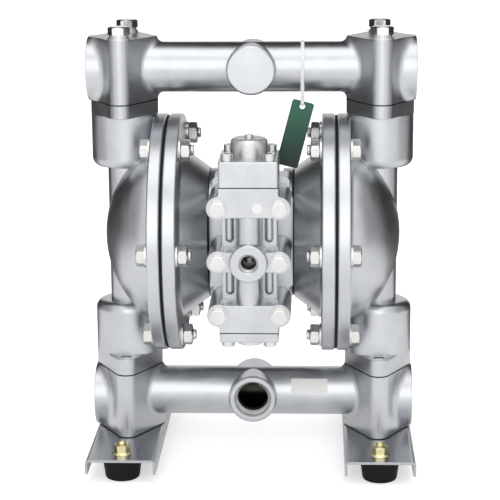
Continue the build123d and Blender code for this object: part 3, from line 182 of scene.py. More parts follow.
@dataclass(frozen=True)
class Finish:
    """A real surface: its material, how it was made, and the colour and gloss this gives."""

    name: str
    slot: str
    colour: str
    roughness: float
    metallic: float = 0.0
    edge_mm: float = 0.0
    specular: float = 0.5

    def material(self) -> bpy.types.Material:
        """Builds the material, or returns it where it exists already.

        Returns:
            The Blender material.
        """
        known = bpy.data.materials.get(self.name)
        if known:
            return known
        made = bpy.data.materials.new(self.name)
        tree = empty_tree(made)
        shader = add(
            tree, "ShaderNodeBsdfPrincipled",
            {
                "Base Color": linear(self.colour), "Roughness": self.roughness,
                "Metallic": self.metallic, "Specular IOR Level": self.specular,
            },
        )
        out = add(tree, "ShaderNodeOutputMaterial", links={"Surface": shader.outputs["BSDF"]})
        out.is_active_output = True
        coords = add(tree, "ShaderNodeTexCoord")
        self.detail(tree, shader, coords.outputs["Object"])
        made.diffuse_color = linear(self.colour)
        return made

    def detail(self, tree: Tree, shader: Node, where: Socket) -> None:
        """Adds the pattern of the surface.

        Args:
            tree: the material's node tree.
            shader: its Principled node.
            where: object coordinates, in metres.
        """

    def tint(
        self, tree: Tree, factor: Socket, dark: str, light: str, low: float, high: float
    ) -> Socket:
        """Turns a pattern into a colour between two hex colours.

        Args:
            tree: the material's node tree.
            factor: the pattern.
            dark: colour where the pattern is at or under low.
            light: colour where it is at or over high.
            low: pattern value of the dark colour.
            high: pattern value of the light colour.

        Returns:
            The colour socket.
        """
        ramp = add(tree, "ShaderNodeValToRGB", links={"Fac": factor})
        ramp.color_ramp.elements[0].position = low
        ramp.color_ramp.elements[0].color = linear(dark)
        ramp.color_ramp.elements[1].position = high
        ramp.color_ramp.elements[1].color = linear(light)
        return ramp.outputs["Color"]

    def relief(
        self, tree: Tree, shader: Node, height: Socket, depth_mm: float, strength: float
    ) -> None:
        """Adds a bump of a real depth, over rounded edges where the finish has them.

        Args:
            tree: the material's node tree.
            shader: its Principled node.
            height: the pattern, 0 to 1.
            depth_mm: real height of the pattern.
            strength: strength of the bump.
        """
        bump = add(
            tree, "ShaderNodeBump", {"Distance": depth_mm * MM, "Strength": strength},
            {"Height": height},
        )
        if self.edge_mm:
            edge = add(tree, "ShaderNodeBevel", {"Radius": self.edge_mm * MM}, samples=4)
            tree.links.new(edge.outputs["Normal"], bump.inputs["Normal"])
        tree.links.new(bump.outputs["Normal"], shader.inputs["Normal"])


# A passage that ends this far past the pump is open at that end.
OPEN_END = 1000.0


@dataclass(frozen=True)
class Passage:
    """Cast passage whose inside gets a painted shade, in millimetres.

    It runs along an axis through its centre, over a span that stops short of its closed ends.
    """

    centre: Point
    along: Axis
    radius: float
    span: tuple[float, float] = (-OPEN_END, OPEN_END)

    def inside(self, tree: Tree, where: Socket) -> Socket:
        """Marks the points in the passage.

        Args:
            tree: node tree of the material.
            where: object coordinates, in metres.

        Returns:
            Socket that is 1 in the passage and 0 outside.
        """
        flat = Vector([0.0 if axis == self.along.value else 1.0 for axis in "XYZ"])
        shifted = add(
            tree, "ShaderNodeVectorMath", {1: Vector(self.centre) * MM}, {0: where},
            operation="SUBTRACT",
        ).outputs["Vector"]
        across = add(
            tree, "ShaderNodeVectorMath", {1: flat}, {0: shifted}, operation="MULTIPLY"
        ).outputs["Vector"]
        away = add(tree, "ShaderNodeVectorMath", links={0: across}, operation="LENGTH")
        within = add(
            tree, "ShaderNodeMath", {1: self.radius * MM}, {0: away.outputs["Value"]},
            operation="LESS_THAN",
        ).outputs[0]
        parts = add(tree, "ShaderNodeSeparateXYZ", links={"Vector": where})
        for limit, operation in zip(self.span, ("GREATER_THAN", "LESS_THAN")):
            beyond = add(
                tree, "ShaderNodeMath", {1: limit * MM}, {0: parts.outputs[self.along.value]},
                operation=operation,
            )
            within = add(
                tree, "ShaderNodeMath", links={0: within, 1: beyond.outputs[0]},
                operation="MULTIPLY",
            ).outputs[0]
        return within


@dataclass(frozen=True)
class CastAluminium(Finish):
    """Die and sand cast aluminium, shot blasted: an even satin grain over faint, broad clouds."""

    dark: str = "#bcbec2"
    light: str = "#d2d4d7"
    # Painted shade: near-black colour of the insides of the passages, standing for the shade deep
    # in the bores.
    unblasted: str = "#38362f"
    grain_mm: float = 0.7
    grain_share: float = 0.35
    cloud_mm: float = 34.0
    gloss: float = 0.04
    passages: tuple[Passage, ...] = ()

    def detail(self, tree: Tree, shader: Node, where: Socket) -> None:
        """Adds the blasted grain, the clouds, the slight pitting and the painted shade in the
        passages.

        Args:
            tree: the material's node tree.
            shader: its Principled node.
            where: object coordinates, in metres.
        """
        cloud = add(
            tree, "ShaderNodeTexNoise",
            {"Scale": per_metre(self.cloud_mm), "Detail": 4.0, "Roughness": 0.6},
            {"Vector": where},
        )
        grain = add(
            tree, "ShaderNodeTexNoise",
            {"Scale": per_metre(self.grain_mm), "Detail": 3.0, "Roughness": 0.7},
            {"Vector": where},
        )
        mixed = add(
            tree, "ShaderNodeMath", {1: self.grain_share},
            {0: grain.outputs["Fac"], 2: cloud.outputs["Fac"]}, operation="MULTIPLY_ADD",
        )
        colour = self.tint(tree, mixed.outputs[0], self.dark, self.light, 0.42, 0.95)
        # Painted shade: points inside a passage take the near-black colour over the grain and
        # clouds.
        if self.passages:
            marks = [passage.inside(tree, where) for passage in self.passages]
            dark = marks[0]
            for mark in marks[1:]:
                dark = add(
                    tree, "ShaderNodeMath", links={0: dark, 1: mark}, operation="MAXIMUM"
                ).outputs[0]
            painted_shade = add(
                tree, "ShaderNodeMixRGB", {"Color2": linear(self.unblasted)},
                {"Fac": dark, "Color1": colour},
            )
            colour = painted_shade.outputs["Color"]
        tree.links.new(colour, shader.inputs["Base Color"])
        gloss = add(
            tree, "ShaderNodeMapRange",
            NOISE | {"To Min": self.roughness - self.gloss, "To Max": self.roughness + self.gloss},
            {"Value": cloud.outputs["Fac"]},
        )
        tree.links.new(gloss.outputs["Result"], shader.inputs["Roughness"])
        self.relief(tree, shader, grain.outputs["Fac"], 0.12, 0.35)


@dataclass(frozen=True)
class Grained(Finish):
    """Surface with one fine pattern in its colour and height and, with a spread, in its gloss."""

    dark: str = "#808080"
    light: str = "#808080"
    low: float = 0.35
    high: float = 0.65
    grain_mm: float = 1.0
    octaves: float = 5.0
    fineness: float = 0.5
    stretch: float = 1.0
    spread: tuple[float, float] = (0.0, 0.0)
    depth_mm: float = 0.02
    strength: float = 0.2

    def detail(self, tree: Tree, shader: Node, where: Socket) -> None:
        """Adds the pattern to the colour, the roughness and the height.

        Args:
            tree: the material's node tree.
            shader: its Principled node.
            where: object coordinates, in metres.
        """
        if self.stretch != 1.0:
            drawn = add(
                tree, "ShaderNodeMapping", {"Scale": (1.0, self.stretch, 1.0)}, {"Vector": where}
            )
            where = drawn.outputs["Vector"]
        noise = add(
            tree, "ShaderNodeTexNoise",
            {"Scale": per_metre(self.grain_mm), "Detail": self.octaves, "Roughness": self.fineness},
            {"Vector": where},
        )
        grain = noise.outputs["Fac"]
        colour = self.tint(tree, grain, self.dark, self.light, self.low, self.high)
        tree.links.new(colour, shader.inputs["Base Color"])
        if any(self.spread):
            smoother, rougher = self.spread
            gloss = add(
                tree, "ShaderNodeMapRange",
                NOISE | {"To Min": self.roughness - smoother, "To Max": self.roughness + rougher},
                {"Value": grain},
            )
            tree.links.new(gloss.outputs["Result"], shader.inputs["Roughness"])
        self.relief(tree, shader, grain, self.depth_mm, self.strength)


@dataclass(frozen=True)
class TurnedSteel(Grained):
    """Bright stainless steel, turned or cold headed: smooth, with faint handling marks."""

    dark: str = "#d2d2d0"
    light: str = "#dededc"
    grain_mm: float = 2.8
    octaves: float = 6.0
    fineness: float = 0.75
    spread: tuple[float, float] = (0.06, 0.08)
    depth_mm: float = 0.03
    strength: float = 0.3


@dataclass(frozen=True)
class RolledSheet(Grained):
    """Cold rolled sheet steel: fine lines along the channel, drawn coarse enough to show."""

    dark: str = "#a9abaf"
    light: str = "#c2c4c8"
    octaves: float = 4.0
    fineness: float = 0.6
    stretch: float = 0.02
    spread: tuple[float, float] = (0.06, 0.08)
    strength: float = 0.4


@dataclass(frozen=True)
class ZincPassivated(Grained):
    """Yellow passivated zinc plate: pale gold that drifts from darker to lighter."""

    dark: str = "#dccf98"
    light: str = "#f2ebc4"
    grain_mm: float = 4.0
    octaves: float = 2.0


@dataclass(frozen=True)
class MouldedRubber(Grained):
    """Moulded black rubber: matt, with a fine grain and a trace of bloom."""

    dark: str = "#0a0b0a"
    light: str = "#161716"
    high: float = 0.75
    grain_mm: float = 1.1
    fineness: float = 0.7
    depth_mm: float = 0.08
    strength: float = 0.4


@dataclass(frozen=True)
class MouldedPlastic(Grained):
    """Natural moulded plastic, such as nylon: smooth, off-white and slightly cloudy."""

    dark: str = "#dcdcd8"
    light: str = "#efefec"
    grain_mm: float = 6.0
    octaves: float = 3.0
    depth_mm: float = 0.03


@dataclass(frozen=True)
class BarePaper(Grained):
    """White label paper with a smooth face: faint fibres and no print."""

    dark: str = "#ecece9"
    light: str = "#f6f6f3"
    low: float = 0.3
    high: float = 0.7
    grain_mm: float = 0.9


@dataclass(frozen=True)
class FilmedCard(Finish):
    """Printed card under a matt film: green, darker towards its lower end."""

    dark: str = "#060e0b"
    light: str = "#22604a"
    fibre_mm: float = 1.6
    fibre_share: float = 0.12
    top_m: float = 0.322
    length_m: float = 0.060

    def detail(self, tree: Tree, shader: Node, where: Socket) -> None:
        """Adds the fade along the tag and the fibre of the card under the film.

        Args:
            tree: the material's node tree.
            shader: its Principled node.
            where: object coordinates, in metres.
        """
        parts = add(tree, "ShaderNodeSeparateXYZ", links={"Vector": where})
        along = add(
            tree, "ShaderNodeMapRange",
            {"From Min": self.top_m - self.length_m, "From Max": self.top_m},
            {"Value": parts.outputs["Z"]},
        )
        fibre = add(
            tree, "ShaderNodeTexNoise",
            {"Scale": per_metre(self.fibre_mm), "Detail": 4.0}, {"Vector": where},
        )
        mixed = add(
            tree, "ShaderNodeMath", {1: self.fibre_share},
            {0: fibre.outputs["Fac"], 2: along.outputs["Result"]}, operation="MULTIPLY_ADD",
        )
        colour = self.tint(tree, mixed.outputs[0], self.dark, self.light, 0.05, 1.0)
        tree.links.new(colour, shader.inputs["Base Color"])
        self.relief(tree, shader, fibre.outputs["Fac"], 0.03, 0.25)


TUBE_Z = {"inlet": 55.0, "outlet": 355.0}
TUBE_ENDS = (-136.0, 136.0)
BRANCH_WALL = -14.9
AIR_INLET_Z = 200.9

# Shot blasted castings: satin grey, as bright as what they face. Passages get a near-black painted
# shade.
CASTING = CastAluminium("shot_blasted_cast_aluminium", "cast_aluminium", "#cbcdd0", 0.33, 1.0, 1.2)
# Painted shade inside the tube bores and both liquid ports.
BORED_MANIFOLD = CastAluminium(
    "cast_aluminium_manifold", "cast_aluminium", "#cbcdd0", 0.33, 1.0, 1.2,
    passages=(
        Passage((0.0, 0.0, TUBE_Z["inlet"]), Axis.Y, 14.9),
        Passage((0.0, 0.0, TUBE_Z["outlet"]), Axis.Y, 14.9, (BRANCH_WALL, OPEN_END)),
        Passage((0.0, 0.0, TUBE_Z["inlet"]), Axis.X, 15.2, TUBE_ENDS),
        Passage((0.0, 0.0, TUBE_Z["outlet"]), Axis.X, 15.2, TUBE_ENDS),
    ),
)
# Painted shade inside the bore of the air inlet.
BORED_VALVE = CastAluminium(
    "cast_aluminium_valve", "cast_aluminium", "#cbcdd0", 0.33, 1.0, 1.2,
    passages=(Passage((0.0, 0.0, AIR_INLET_Z), Axis.Y, 7.3),),
)
# Cold headed stainless bolts: sharp, bright reflections. Turned and stamped parts: softer ones.
BOLT_STEEL = TurnedSteel("bright_stainless_steel", "stainless_steel", "#bdbcba", 0.22, 1.0, 0.3)
SATIN_STEEL = TurnedSteel("satin_stainless_steel", "stainless_steel", "#b2b1af", 0.34, 1.0, 0.3)
# Rolled sheet: reflections drawn out along the channel.
SHEET = RolledSheet("rolled_sheet_steel", "channel_steel", "#b4b4b5", 0.32, 1.0, 0.4)
# Passivated zinc plate: a pale gold shine.
ZINC = ZincPassivated("yellow_passivated_zinc", "yellow_zinc", "#c9a548", 0.3, 1.0, 0.2)
# Rubber: near black with hardly any highlight.
RUBBER = MouldedRubber("moulded_black_rubber", "black_rubber", "#111211", 0.62, specular=0.2)
# Nylon: milky white with a soft highlight.
NYLON = MouldedPlastic("natural_nylon", "white_plastic", "#e8e8e4", 0.38)
# Bearing bronze, with the tint of turned steel: the bushings are inside, where no view shows them.
BRONZE = TurnedSteel("bearing_bronze", "bronze", "#a57c45", 0.35, 1.0)
# Filmed card: deep green that fades to nearly black.
CARD = FilmedCard("filmed_green_card", "green_tag", "#285440", 0.42)
# Label paper: plain white and matt.
PAPER = BarePaper("bare_label_paper", "white_plastic", "#ebebe9", 0.6)

DRESS: dict[Finish, Sequence[str]] = {
    CASTING: (
        "liquid_chamber_left", "liquid_chamber_right", "air_chamber_left", "air_chamber_right",
        "centre_body", "valve_top_cover", "valve_bottom_cover",
    ),
    BORED_MANIFOLD: ("outlet_manifold", "inlet_manifold"),
    BORED_VALVE: ("valve_body",),
    SATIN_STEEL: (
        "air_chamber_screws", "manifold_spring_washers", "manifold_flat_washers",
        "flange_washers", "valve_bolt_washers", "centre_shaft", "inner_disc_left",
        "inner_disc_right", "outer_disc_left", "outer_disc_right", "reset_spring",
        "pilot_pin_left", "pilot_pin_right", "valve_sleeve", "valve_spool", "reset_cap",
        "bottom_plug",
    ),
    BOLT_STEEL: (
        "upper_manifold_bolts", "lower_manifold_bolts", "flange_bolts", "flange_nuts",
        "valve_bolts", "top_cover_screws", "bottom_cover_screws", "reset_button",
    ),
    SHEET: ("base_channel_left", "base_channel_right"),
    ZINC: ("foot_studs", "foot_nuts"),
    RUBBER: (
        "diaphragm_left", "diaphragm_right", "rubber_feet", "inlet_ball_left",
        "inlet_ball_right", "outlet_ball_left", "outlet_ball_right", "shaft_seals",
        "seat_seals", "spool_rings", "valve_body_gasket", "top_cover_gasket",
        "bottom_cover_gasket", "air_chamber_gaskets",
    ),
    NYLON: ("ball_seats", "ball_guides", "tag_tie"),
    BRONZE: ("shaft_bushings",),
    CARD: ("hang_tag",),
}


def dress_cad_nodes() -> None:
    """Gives every CAD node the finish of the real piece."""
    for finish, names in DRESS.items():
        for name in names:
            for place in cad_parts[name].material_slots:
                place.material = finish.material()
    log.info("dressed %d nodes", sum(len(names) for names in DRESS.values()))


def finish_piece(
    name: str, shape: Shape, finish: Finish, smooth_deg: float = 35.0, rides: bool = True
) -> Object:
    """Turns a bmesh in metres and in the frame into a piece that rides on the pump's body.

    Args:
        name: name of the piece.
        shape: its mesh, which is freed.
        finish: its finish.
        smooth_deg: edges under this angle are shaded smooth.
        rides: False for a piece that is left off the pump's body.

    Returns:
        The new object.
    """
    for face in shape.faces:
        face.smooth = True
    for edge in shape.edges:
        if len(edge.link_faces) == 2 and edge.calc_face_angle(0.0) > math.radians(smooth_deg):
            edge.smooth = False
    piece = link_object(name, shape, finish.material())
    if rides:
        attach(piece, BODY)
    log.info("%s: %d faces", name, len(piece.data.polygons))
    return piece


def place_copies(shape: Shape, facing: Facing, places: Iterable[Point]) -> Shape:
    """Repeats a shape that stands on the origin along +Z, in metres.

    Args:
        shape: the shape, which is freed.
        facing: direction that its +Z takes.
        places: origins of the copies, in millimetres.

    Returns:
        One bmesh with every copy.
    """
    source = bpy.data.meshes.new("pattern")
    shape.to_mesh(source)
    shape.free()
    joined = bmesh.new()
    for place in places:
        before = len(joined.verts)
        joined.from_mesh(source)
        joined.verts.ensure_lookup_table()
        move = Matrix.Translation(Vector(place) * MM) @ facing.value
        bmesh.ops.transform(joined, matrix=move, verts=joined.verts[before:])
    bpy.data.meshes.remove(source)
    return joined


@dataclass
class HexHead:
    """Hexagon head or nut with the turned chamfer, in millimetres."""

    flats: float
    height: float
    bore: float = 0.0
    chamfer_both: bool = False
    segments: int = 48
    chamfer_deg: float = 30.0
    chamfer_start: float = 0.95
    corner_reach: float = 1.14
    inner_ring: float = 0.9
    axis_radius: float = 0.001

    @property
    def disc(self) -> float:
        """Radius of the flat disc inside the chamfer."""
        return self.flats / 2 * self.chamfer_start

    def outline(self, angle: float) -> float:
        """Distance from the axis to the outline at an angle, with corners on X slightly eased."""
        sector = angle % (math.pi / 3) - math.pi / 6
        return min(self.flats / 2 / math.cos(sector), self.flats / 2 * self.corner_reach)

    def drop(self, radius: float) -> float:
        """How far the chamfer lies from the end face at a radius."""
        return max(0.0, radius - self.disc) * math.tan(math.radians(self.chamfer_deg))

    def rings(self) -> list[tuple[Optional[float], float, int]]:
        """Lists the rings of the surface from the seat to the top.

        Returns:
            For each ring its radius, or None for the hexagon, its height, and which way the chamfer
            moves it: 1 up, -1 down and 0 not at all.
        """
        low = [(self.disc, 0.0, 0), (None, 0.0, 1)] if self.chamfer_both else [(None, 0.0, 0)]
        top = self.height
        return [
            (self.bore, 0.0, 0), *low, (None, top, -1), (self.disc, top, 0),
            (self.disc * self.inner_ring, top, 0), (self.bore, top, 0),
        ]

    def build(self, base: float = 0.0) -> Shape:
        """Builds the head standing at a height on +Z.

        Args:
            base: height of its seat, in millimetres.

        Returns:
            The bmesh, in metres.
        """
        shape = bmesh.new()
        bmesh.ops.create_circle(shape, segments=self.segments, radius=MM, cap_ends=False)
        ring = list(shape.edges)
        for index, (radius, height, chamfer) in enumerate(self.rings()):
            if index:
                grown = bmesh.ops.extrude_edge_only(shape, edges=ring)["geom"]
                ring = [item for item in grown if isinstance(item, bmesh.types.BMEdge)]
            for vert in {vert for edge in ring for vert in edge.verts}:
                angle = math.atan2(vert.co.y, vert.co.x)
                reach = self.outline(angle) if radius is None else max(radius, self.axis_radius)
                level = height + chamfer * self.drop(reach) if chamfer else height
                point = (math.cos(angle) * reach, math.sin(angle) * reach, level + base)
                vert.co = Vector(point) * MM
        if self.bore:
            first = {v for v in shape.verts if abs(v.co.z - base * MM) < ON_PLANE}
            low = [e for e in shape.edges if e.is_boundary and first.issuperset(e.verts)]
            high = [e for e in shape.edges if e.is_boundary and e not in low]
            bmesh.ops.bridge_loops(shape, edges=low + high)
        bmesh.ops.remove_doubles(shape, verts=shape.verts, dist=2 * MERGE)
        bmesh.ops.recalc_face_normals(shape, faces=shape.faces)
        return shape


@dataclass
class Thread:
    """Screw thread drawn as a true helix, in millimetres."""

    core: float
    depth: float
    pitch: float
    length: float
    inside: bool = False
    steps: int = 32
    sunk: float = 0.05
    tooth_share: float = 0.48
    crest_share: float = 0.15

    def build(self, base: float = 0.0) -> Shape:
        """Builds the thread as a swept tooth along +Z.

        Args:
            base: height at which the thread starts, in millimetres.

        Returns:
            The bmesh, in metres.
        """
        shape = bmesh.new()
        out = -1.0 if self.inside else 1.0
        half = self.pitch * self.tooth_share
        root, crest = self.core - out * self.sunk, self.core + out * self.depth
        profile = [
            shape.verts.new(Vector((radius, 0.0, base + height)) * MM)
            for radius, height in (
                (root, 0.0), (crest, half * (1 - self.crest_share)),
                (crest, half * (1 + self.crest_share)), (root, 2 * half),
            )
        ]
        edges = [shape.edges.new((profile[i], profile[i + 1])) for i in range(3)]
        edges.append(shape.edges.new((profile[3], profile[0])))
        face = bmesh.ops.contextual_create(shape, geom=edges)["faces"]
        turns = max(1.0, (self.length - self.pitch) / self.pitch)
        count = int(turns * self.steps)
        bmesh.ops.spin(
            shape, geom=face + edges + profile, cent=(0.0, 0.0, 0.0), axis=(0.0, 0.0, 1.0),
            dvec=(0.0, 0.0, self.pitch * MM / self.steps), angle=math.tau * count / self.steps,
            steps=count, use_merge=False, use_duplicate=False,
        )
        bmesh.ops.recalc_face_normals(shape, faces=shape.faces)
        return shape


def shank(
    radius: float, length: float, high: float = 0.0, tip: float = 0.8, segments: int = 32
) -> Shape:
    """Builds a round shank along +Z with a chamfered lower tip.

    Args:
        radius: radius, in millimetres.
        length: length under the origin, in millimetres.
        high: height of the upper end, in millimetres.
        tip: size of the chamfer, in millimetres.
        segments: sides of the cylinder.

    Returns:
        The bmesh, in metres.
    """
    shape = bmesh.new()
    low = -length
    middle = Matrix.Translation(Vector((0, 0, (low + high) / 2)) * MM)
    bmesh.ops.create_cone(
        shape, cap_ends=True, segments=segments, radius1=radius * MM, radius2=radius * MM,
        depth=(high - low) * MM, matrix=middle,
    )
    rim = [e for e in shape.edges if all(abs(v.co.z - low * MM) < MERGE for v in e.verts)]
    bmesh.ops.bevel(
        shape, geom=rim, offset=tip * MM, offset_type="OFFSET", affect="EDGES", segments=1,
        profile=0.5, material=-1,
    )
    return shape


def join(*shapes: Shape) -> Shape:
    """Joins bmeshes into one.

    Args:
        *shapes: the bmeshes, which are freed.

    Returns:
        The joined bmesh.
    """
    joined = bmesh.new()
    for shape in shapes:
        carrier = bpy.data.meshes.new("carrier")
        shape.to_mesh(carrier)
        shape.free()
        joined.from_mesh(carrier)
        bpy.data.meshes.remove(carrier)
    return joined


@dataclass(frozen=True)
class Screw:
    """A hex screw size in millimetres: width across flats, head height and shank radius."""

    flats: float
    head: float
    radius: float

    def build(self, length: float) -> Shape:
        """Builds the screw, seat on the origin and shank downwards, in metres."""
        return join(HexHead(self.flats, self.head).build(), shank(self.radius, length))


M10 = Screw(17.0, 7.0, 4.95)
M10_THREADED = Screw(17.0, 7.0, 4.55)
M8 = Screw(13.0, 5.3, 3.95)
M6 = Screw(10.0, 4.8, 2.95)


def corners(x: float, y: float, z: float, middle: float = 0.0) -> list[Point]:
    """Four places at x to both sides of the pump and y to both sides of a middle, at height z."""
    return [(right * x, middle + back * y, z) for right in (1, -1) for back in (1, -1)]


@dataclass
class Fasteners:
    """Hex bolts, nuts and studs of the pump, in millimetres, at the places of the CAD solids."""

    column: float = 114.0
    pillar: float = 33.5
    chamber_z: float = 205.0
    circle: float = 96.0
    circle_bolts: int = 6
    liquid_face: float = 87.0
    air_face: float = 62.3
    washer: float = 2.0
    flange_length: float = 40.0
    upper_seat: float = 386.8
    upper_length: float = 70.0
    lower_seat: float = 15.2
    lower_length: float = 80.0
    valve_seat: float = -105.6
    valve_x: float = 26.0
    valve_rows: tuple[float, float, float] = (154.2, AIR_INLET_Z, 247.6)
    valve_length: float = 80.0
    channel_top: float = 22.0
    foot_y: float = 82.0
    collar_radii: tuple[float, float] = (8.95, 8.1)
    collar_height: float = 1.6
    stud_radius: float = 3.45
    stud_length: float = 11.4
    stud_thread_start: float = 0.4
    stud_top: float = 12.0
    bottom_plate: float = 130.6
    cover_screw: tuple[float, float] = (17.9, 24.0)
    cover_length: float = 17.2
    valve_mid: float = -73.0
    thread_start: float = 0.6

    def on_circle(self, reach: float) -> list[Point]:
        """Gives the places of the flange bolts on one side.

        Args:
            reach: distance from the pump's middle to their seats, negative on the left.

        Returns:
            The places, in millimetres.
        """
        turns = [math.radians(360 / self.circle_bolts * i) for i in range(self.circle_bolts)]
        return [
            (reach, self.circle * math.cos(turn), self.chamber_z + self.circle * math.sin(turn))
            for turn in turns
        ]

    def build(self) -> None:
        """Builds every hex fastener and lets it stand for its CAD node."""
        self.flange_bolts()
        self.flange_nuts()
        self.manifold_bolts()
        self.valve_bolts()
        self.foot_fastenings()
        self.bottom_screws()

    def flange_bolts(self) -> None:
        """Builds the M10 bolts of the chamber flanges, whose threaded ends pass the nuts."""
        reach = self.liquid_face + self.washer
        parts = []
        for facing, side in ((Facing.RIGHT, 1), (Facing.LEFT, -1)):
            bolt = M10_THREADED.build(self.flange_length)
            thread = Thread(core=4.5, depth=0.5, pitch=1.5, length=12.0)
            helix = thread.build(self.thread_start - self.flange_length)
            parts.append(place_copies(join(bolt, helix), facing, self.on_circle(side * reach)))
        piece = finish_piece("flange_hex_bolts", join(*parts), BOLT_STEEL)
        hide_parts("flange_bolts")

    def flange_nuts(self) -> None:
        """Builds the nuts on the air chamber side of the flanges."""
        reach = self.air_face - self.washer
        parts = []
        for facing, side in ((Facing.LEFT, 1), (Facing.RIGHT, -1)):
            nut = HexHead(M10.flats, 8.0, bore=5.05, chamfer_both=True).build()
            parts.append(place_copies(nut, facing, self.on_circle(side * reach)))
        piece = finish_piece("flange_hex_nuts", join(*parts), BOLT_STEEL)
        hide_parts("flange_nuts")

    def manifold_bolts(self) -> None:
        """Builds the long bolts that clamp the manifolds and channels to the chambers."""
        for name, facing, seat, length in (
            ("upper", Facing.UP, self.upper_seat, self.upper_length),
            ("lower", Facing.DOWN, self.lower_seat, self.lower_length),
        ):
            places = corners(self.column, self.pillar, seat)
            bolts = place_copies(M10.build(length), facing, places)
            piece = finish_piece(f"{name}_manifold_hex_bolts", bolts, BOLT_STEEL)
            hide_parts(f"{name}_manifold_bolts")

    def valve_bolts(self) -> None:
        """Builds the six M8 bolts through the bars of the air valve."""
        places = [(x * self.valve_x, self.valve_seat, z) for x in (1, -1) for z in self.valve_rows]
        bolts = place_copies(M8.build(self.valve_length), Facing.FRONT, places)
        piece = finish_piece("valve_hex_bolts", bolts, BOLT_STEEL)
        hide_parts("valve_bolts")

    def foot_fastenings(self) -> None:
        """Builds the plated flange nuts and the studs of the rubber feet."""
        places = corners(self.column, self.foot_y, self.channel_top)
        nut = HexHead(M8.flats, 8.6, bore=4.05).build()
        collar = bmesh.new()
        low, high = self.collar_radii
        middle = Matrix.Translation((0, 0, self.collar_height / 2 * MM))
        bmesh.ops.create_cone(
            collar, cap_ends=True, segments=48, radius1=low * MM, radius2=high * MM,
            depth=self.collar_height * MM, matrix=middle,
        )
        nuts = place_copies(join(nut, collar), Facing.UP, places)
        piece = finish_piece("foot_flange_nuts", nuts, ZINC)
        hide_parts("foot_nuts")
        stud = shank(self.stud_radius, self.stud_length, self.stud_top)
        thread = Thread(core=3.4, depth=0.58, pitch=1.25, length=22.0)
        helix = thread.build(self.stud_thread_start - self.stud_length)
        studs = place_copies(join(stud, helix), Facing.DOWN, places)
        piece = finish_piece("foot_threaded_studs", studs, ZINC)
        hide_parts("foot_studs")

    def bottom_screws(self) -> None:
        """Builds the M6 hex screws under the air valve."""
        places = corners(*self.cover_screw, self.bottom_plate, self.valve_mid)
        screws = place_copies(M6.build(self.cover_length), Facing.DOWN, places)
        piece = finish_piece("bottom_hex_screws", screws, BOLT_STEEL)
        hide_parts("bottom_cover_screws")


@dataclass
class Ports:
    """Threads cut in the four ports, in millimetres."""

    liquid_mouth: float = 28.3
    air_mouth: float = 108.8
    exhaust_mouth: float = 56.6
    exhaust_z: float = 205.0

    def build(self) -> None:
        """Cuts a helix into each port's bore."""
        liquid = Thread(core=15.2, depth=1.1, pitch=2.309, length=12.0, inside=True, steps=48)
        air = Thread(core=7.5, depth=0.7, pitch=1.337, length=10.0, inside=True, steps=40)
        exhaust = Thread(core=9.35, depth=0.8, pitch=1.814, length=13.0, inside=True, steps=40)
        for name, facing, place, thread in (
            ("inlet", Facing.FRONT, (0.0, -self.liquid_mouth, TUBE_Z["inlet"]), liquid),
            ("outlet", Facing.BACK, (0.0, self.liquid_mouth, TUBE_Z["outlet"]), liquid),
            ("air", Facing.FRONT, (0.0, -self.air_mouth, AIR_INLET_Z), air),
            ("exhaust", Facing.BACK, (0.0, self.exhaust_mouth, self.exhaust_z), exhaust),
        ):
            shape = place_copies(thread.build(-thread.length), facing, [place])
            finish_piece(f"{name}_port_thread", shape, SATIN_STEEL)


def copy_of(node: str) -> Shape:
    """Copies a CAD node's mesh.

    Args:
        node: name of the node.

    Returns:
        The copy in metres and in the frame, with its doubled points merged.
    """
    shape = bmesh.new()
    shape.from_mesh(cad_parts[node].data)
    bmesh.ops.transform(shape, matrix=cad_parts[node].matrix_world, verts=shape.verts)
    bmesh.ops.remove_doubles(shape, verts=shape.verts, dist=MERGE)
    return shape


@dataclass
class Diaphragms:
    """Rubber diaphragms cut into wedges round the shaft, with rings of cuts from the discs to the
    clamped rim, in millimetres.
    """

    shaft_body: str = "diaphragm_shaft"
    disc_radius: float = 51.0
    held_radius: float = 74.0
    wedges: int = 12
    rings: int = 7

    def build(self) -> None:
        """Cuts both diaphragms into their wedges."""
        for node in ("diaphragm_left", "diaphragm_right"):
            for number in range(self.wedges):
                self.wedge(node, number)

    def wedge(self, node: str, number: int) -> None:
        """Cuts one wedge out of a diaphragm, with rings of cuts from the discs to the rim.

        Args:
            node: diaphragm that the wedge belongs to.
            number: its place round the axis.
        """
        shape = copy_of(node)
        heights = [vert.co.z for vert in shape.verts]
        axis = Vector((0.0, 0.0, (min(heights) + max(heights)) / 2))
        half = math.pi / self.wedges
        middle = self.outward(2 * half * number)
        held = self.held_radius * math.cos(half) * MM
        free = self.disc_radius * MM
        for ring in range(self.rings + 1):
            reach = free + (held - free) * ring / self.rings
            self.cut(shape, axis + middle * reach, middle, False)
        for turn in (1, -1):
            side = self.outward(2 * half * number + turn * (half + math.pi / 2))
            self.cut(shape, axis, side, True)
        bmesh.ops.triangulate(shape, faces=shape.faces)
        bmesh.ops.recalc_face_normals(shape, faces=shape.faces)
        piece = finish_piece(f"{node}_wedge_{number + 1}", shape, RUBBER, rides=False)
        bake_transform(piece)
        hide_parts(node)

    @staticmethod
    def outward(angle: float) -> Vector:
        """Gives the direction away from the shaft at an angle round it."""
        return Vector((0.0, math.cos(angle), math.sin(angle)))

    @staticmethod
    def cut(shape: Shape, point: Vector, normal: Vector, clear: bool) -> None:
        """Cuts the shape by a plane.

        Args:
            shape: the shape.
            point: a point of the plane, in metres.
            normal: direction of the plane's far side.
            clear: whether the far side is cut away and the cut closed.
        """
        found = bmesh.ops.bisect_plane(
            shape, geom=shape.verts[:] + shape.edges[:] + shape.faces[:], dist=ON_PLANE,
            plane_co=point, plane_no=normal, clear_outer=clear,
        )
        if clear:
            rim = [item for item in found["geom_cut"] if isinstance(item, bmesh.types.BMEdge)]
            bmesh.ops.holes_fill(shape, edges=rim, sides=0)


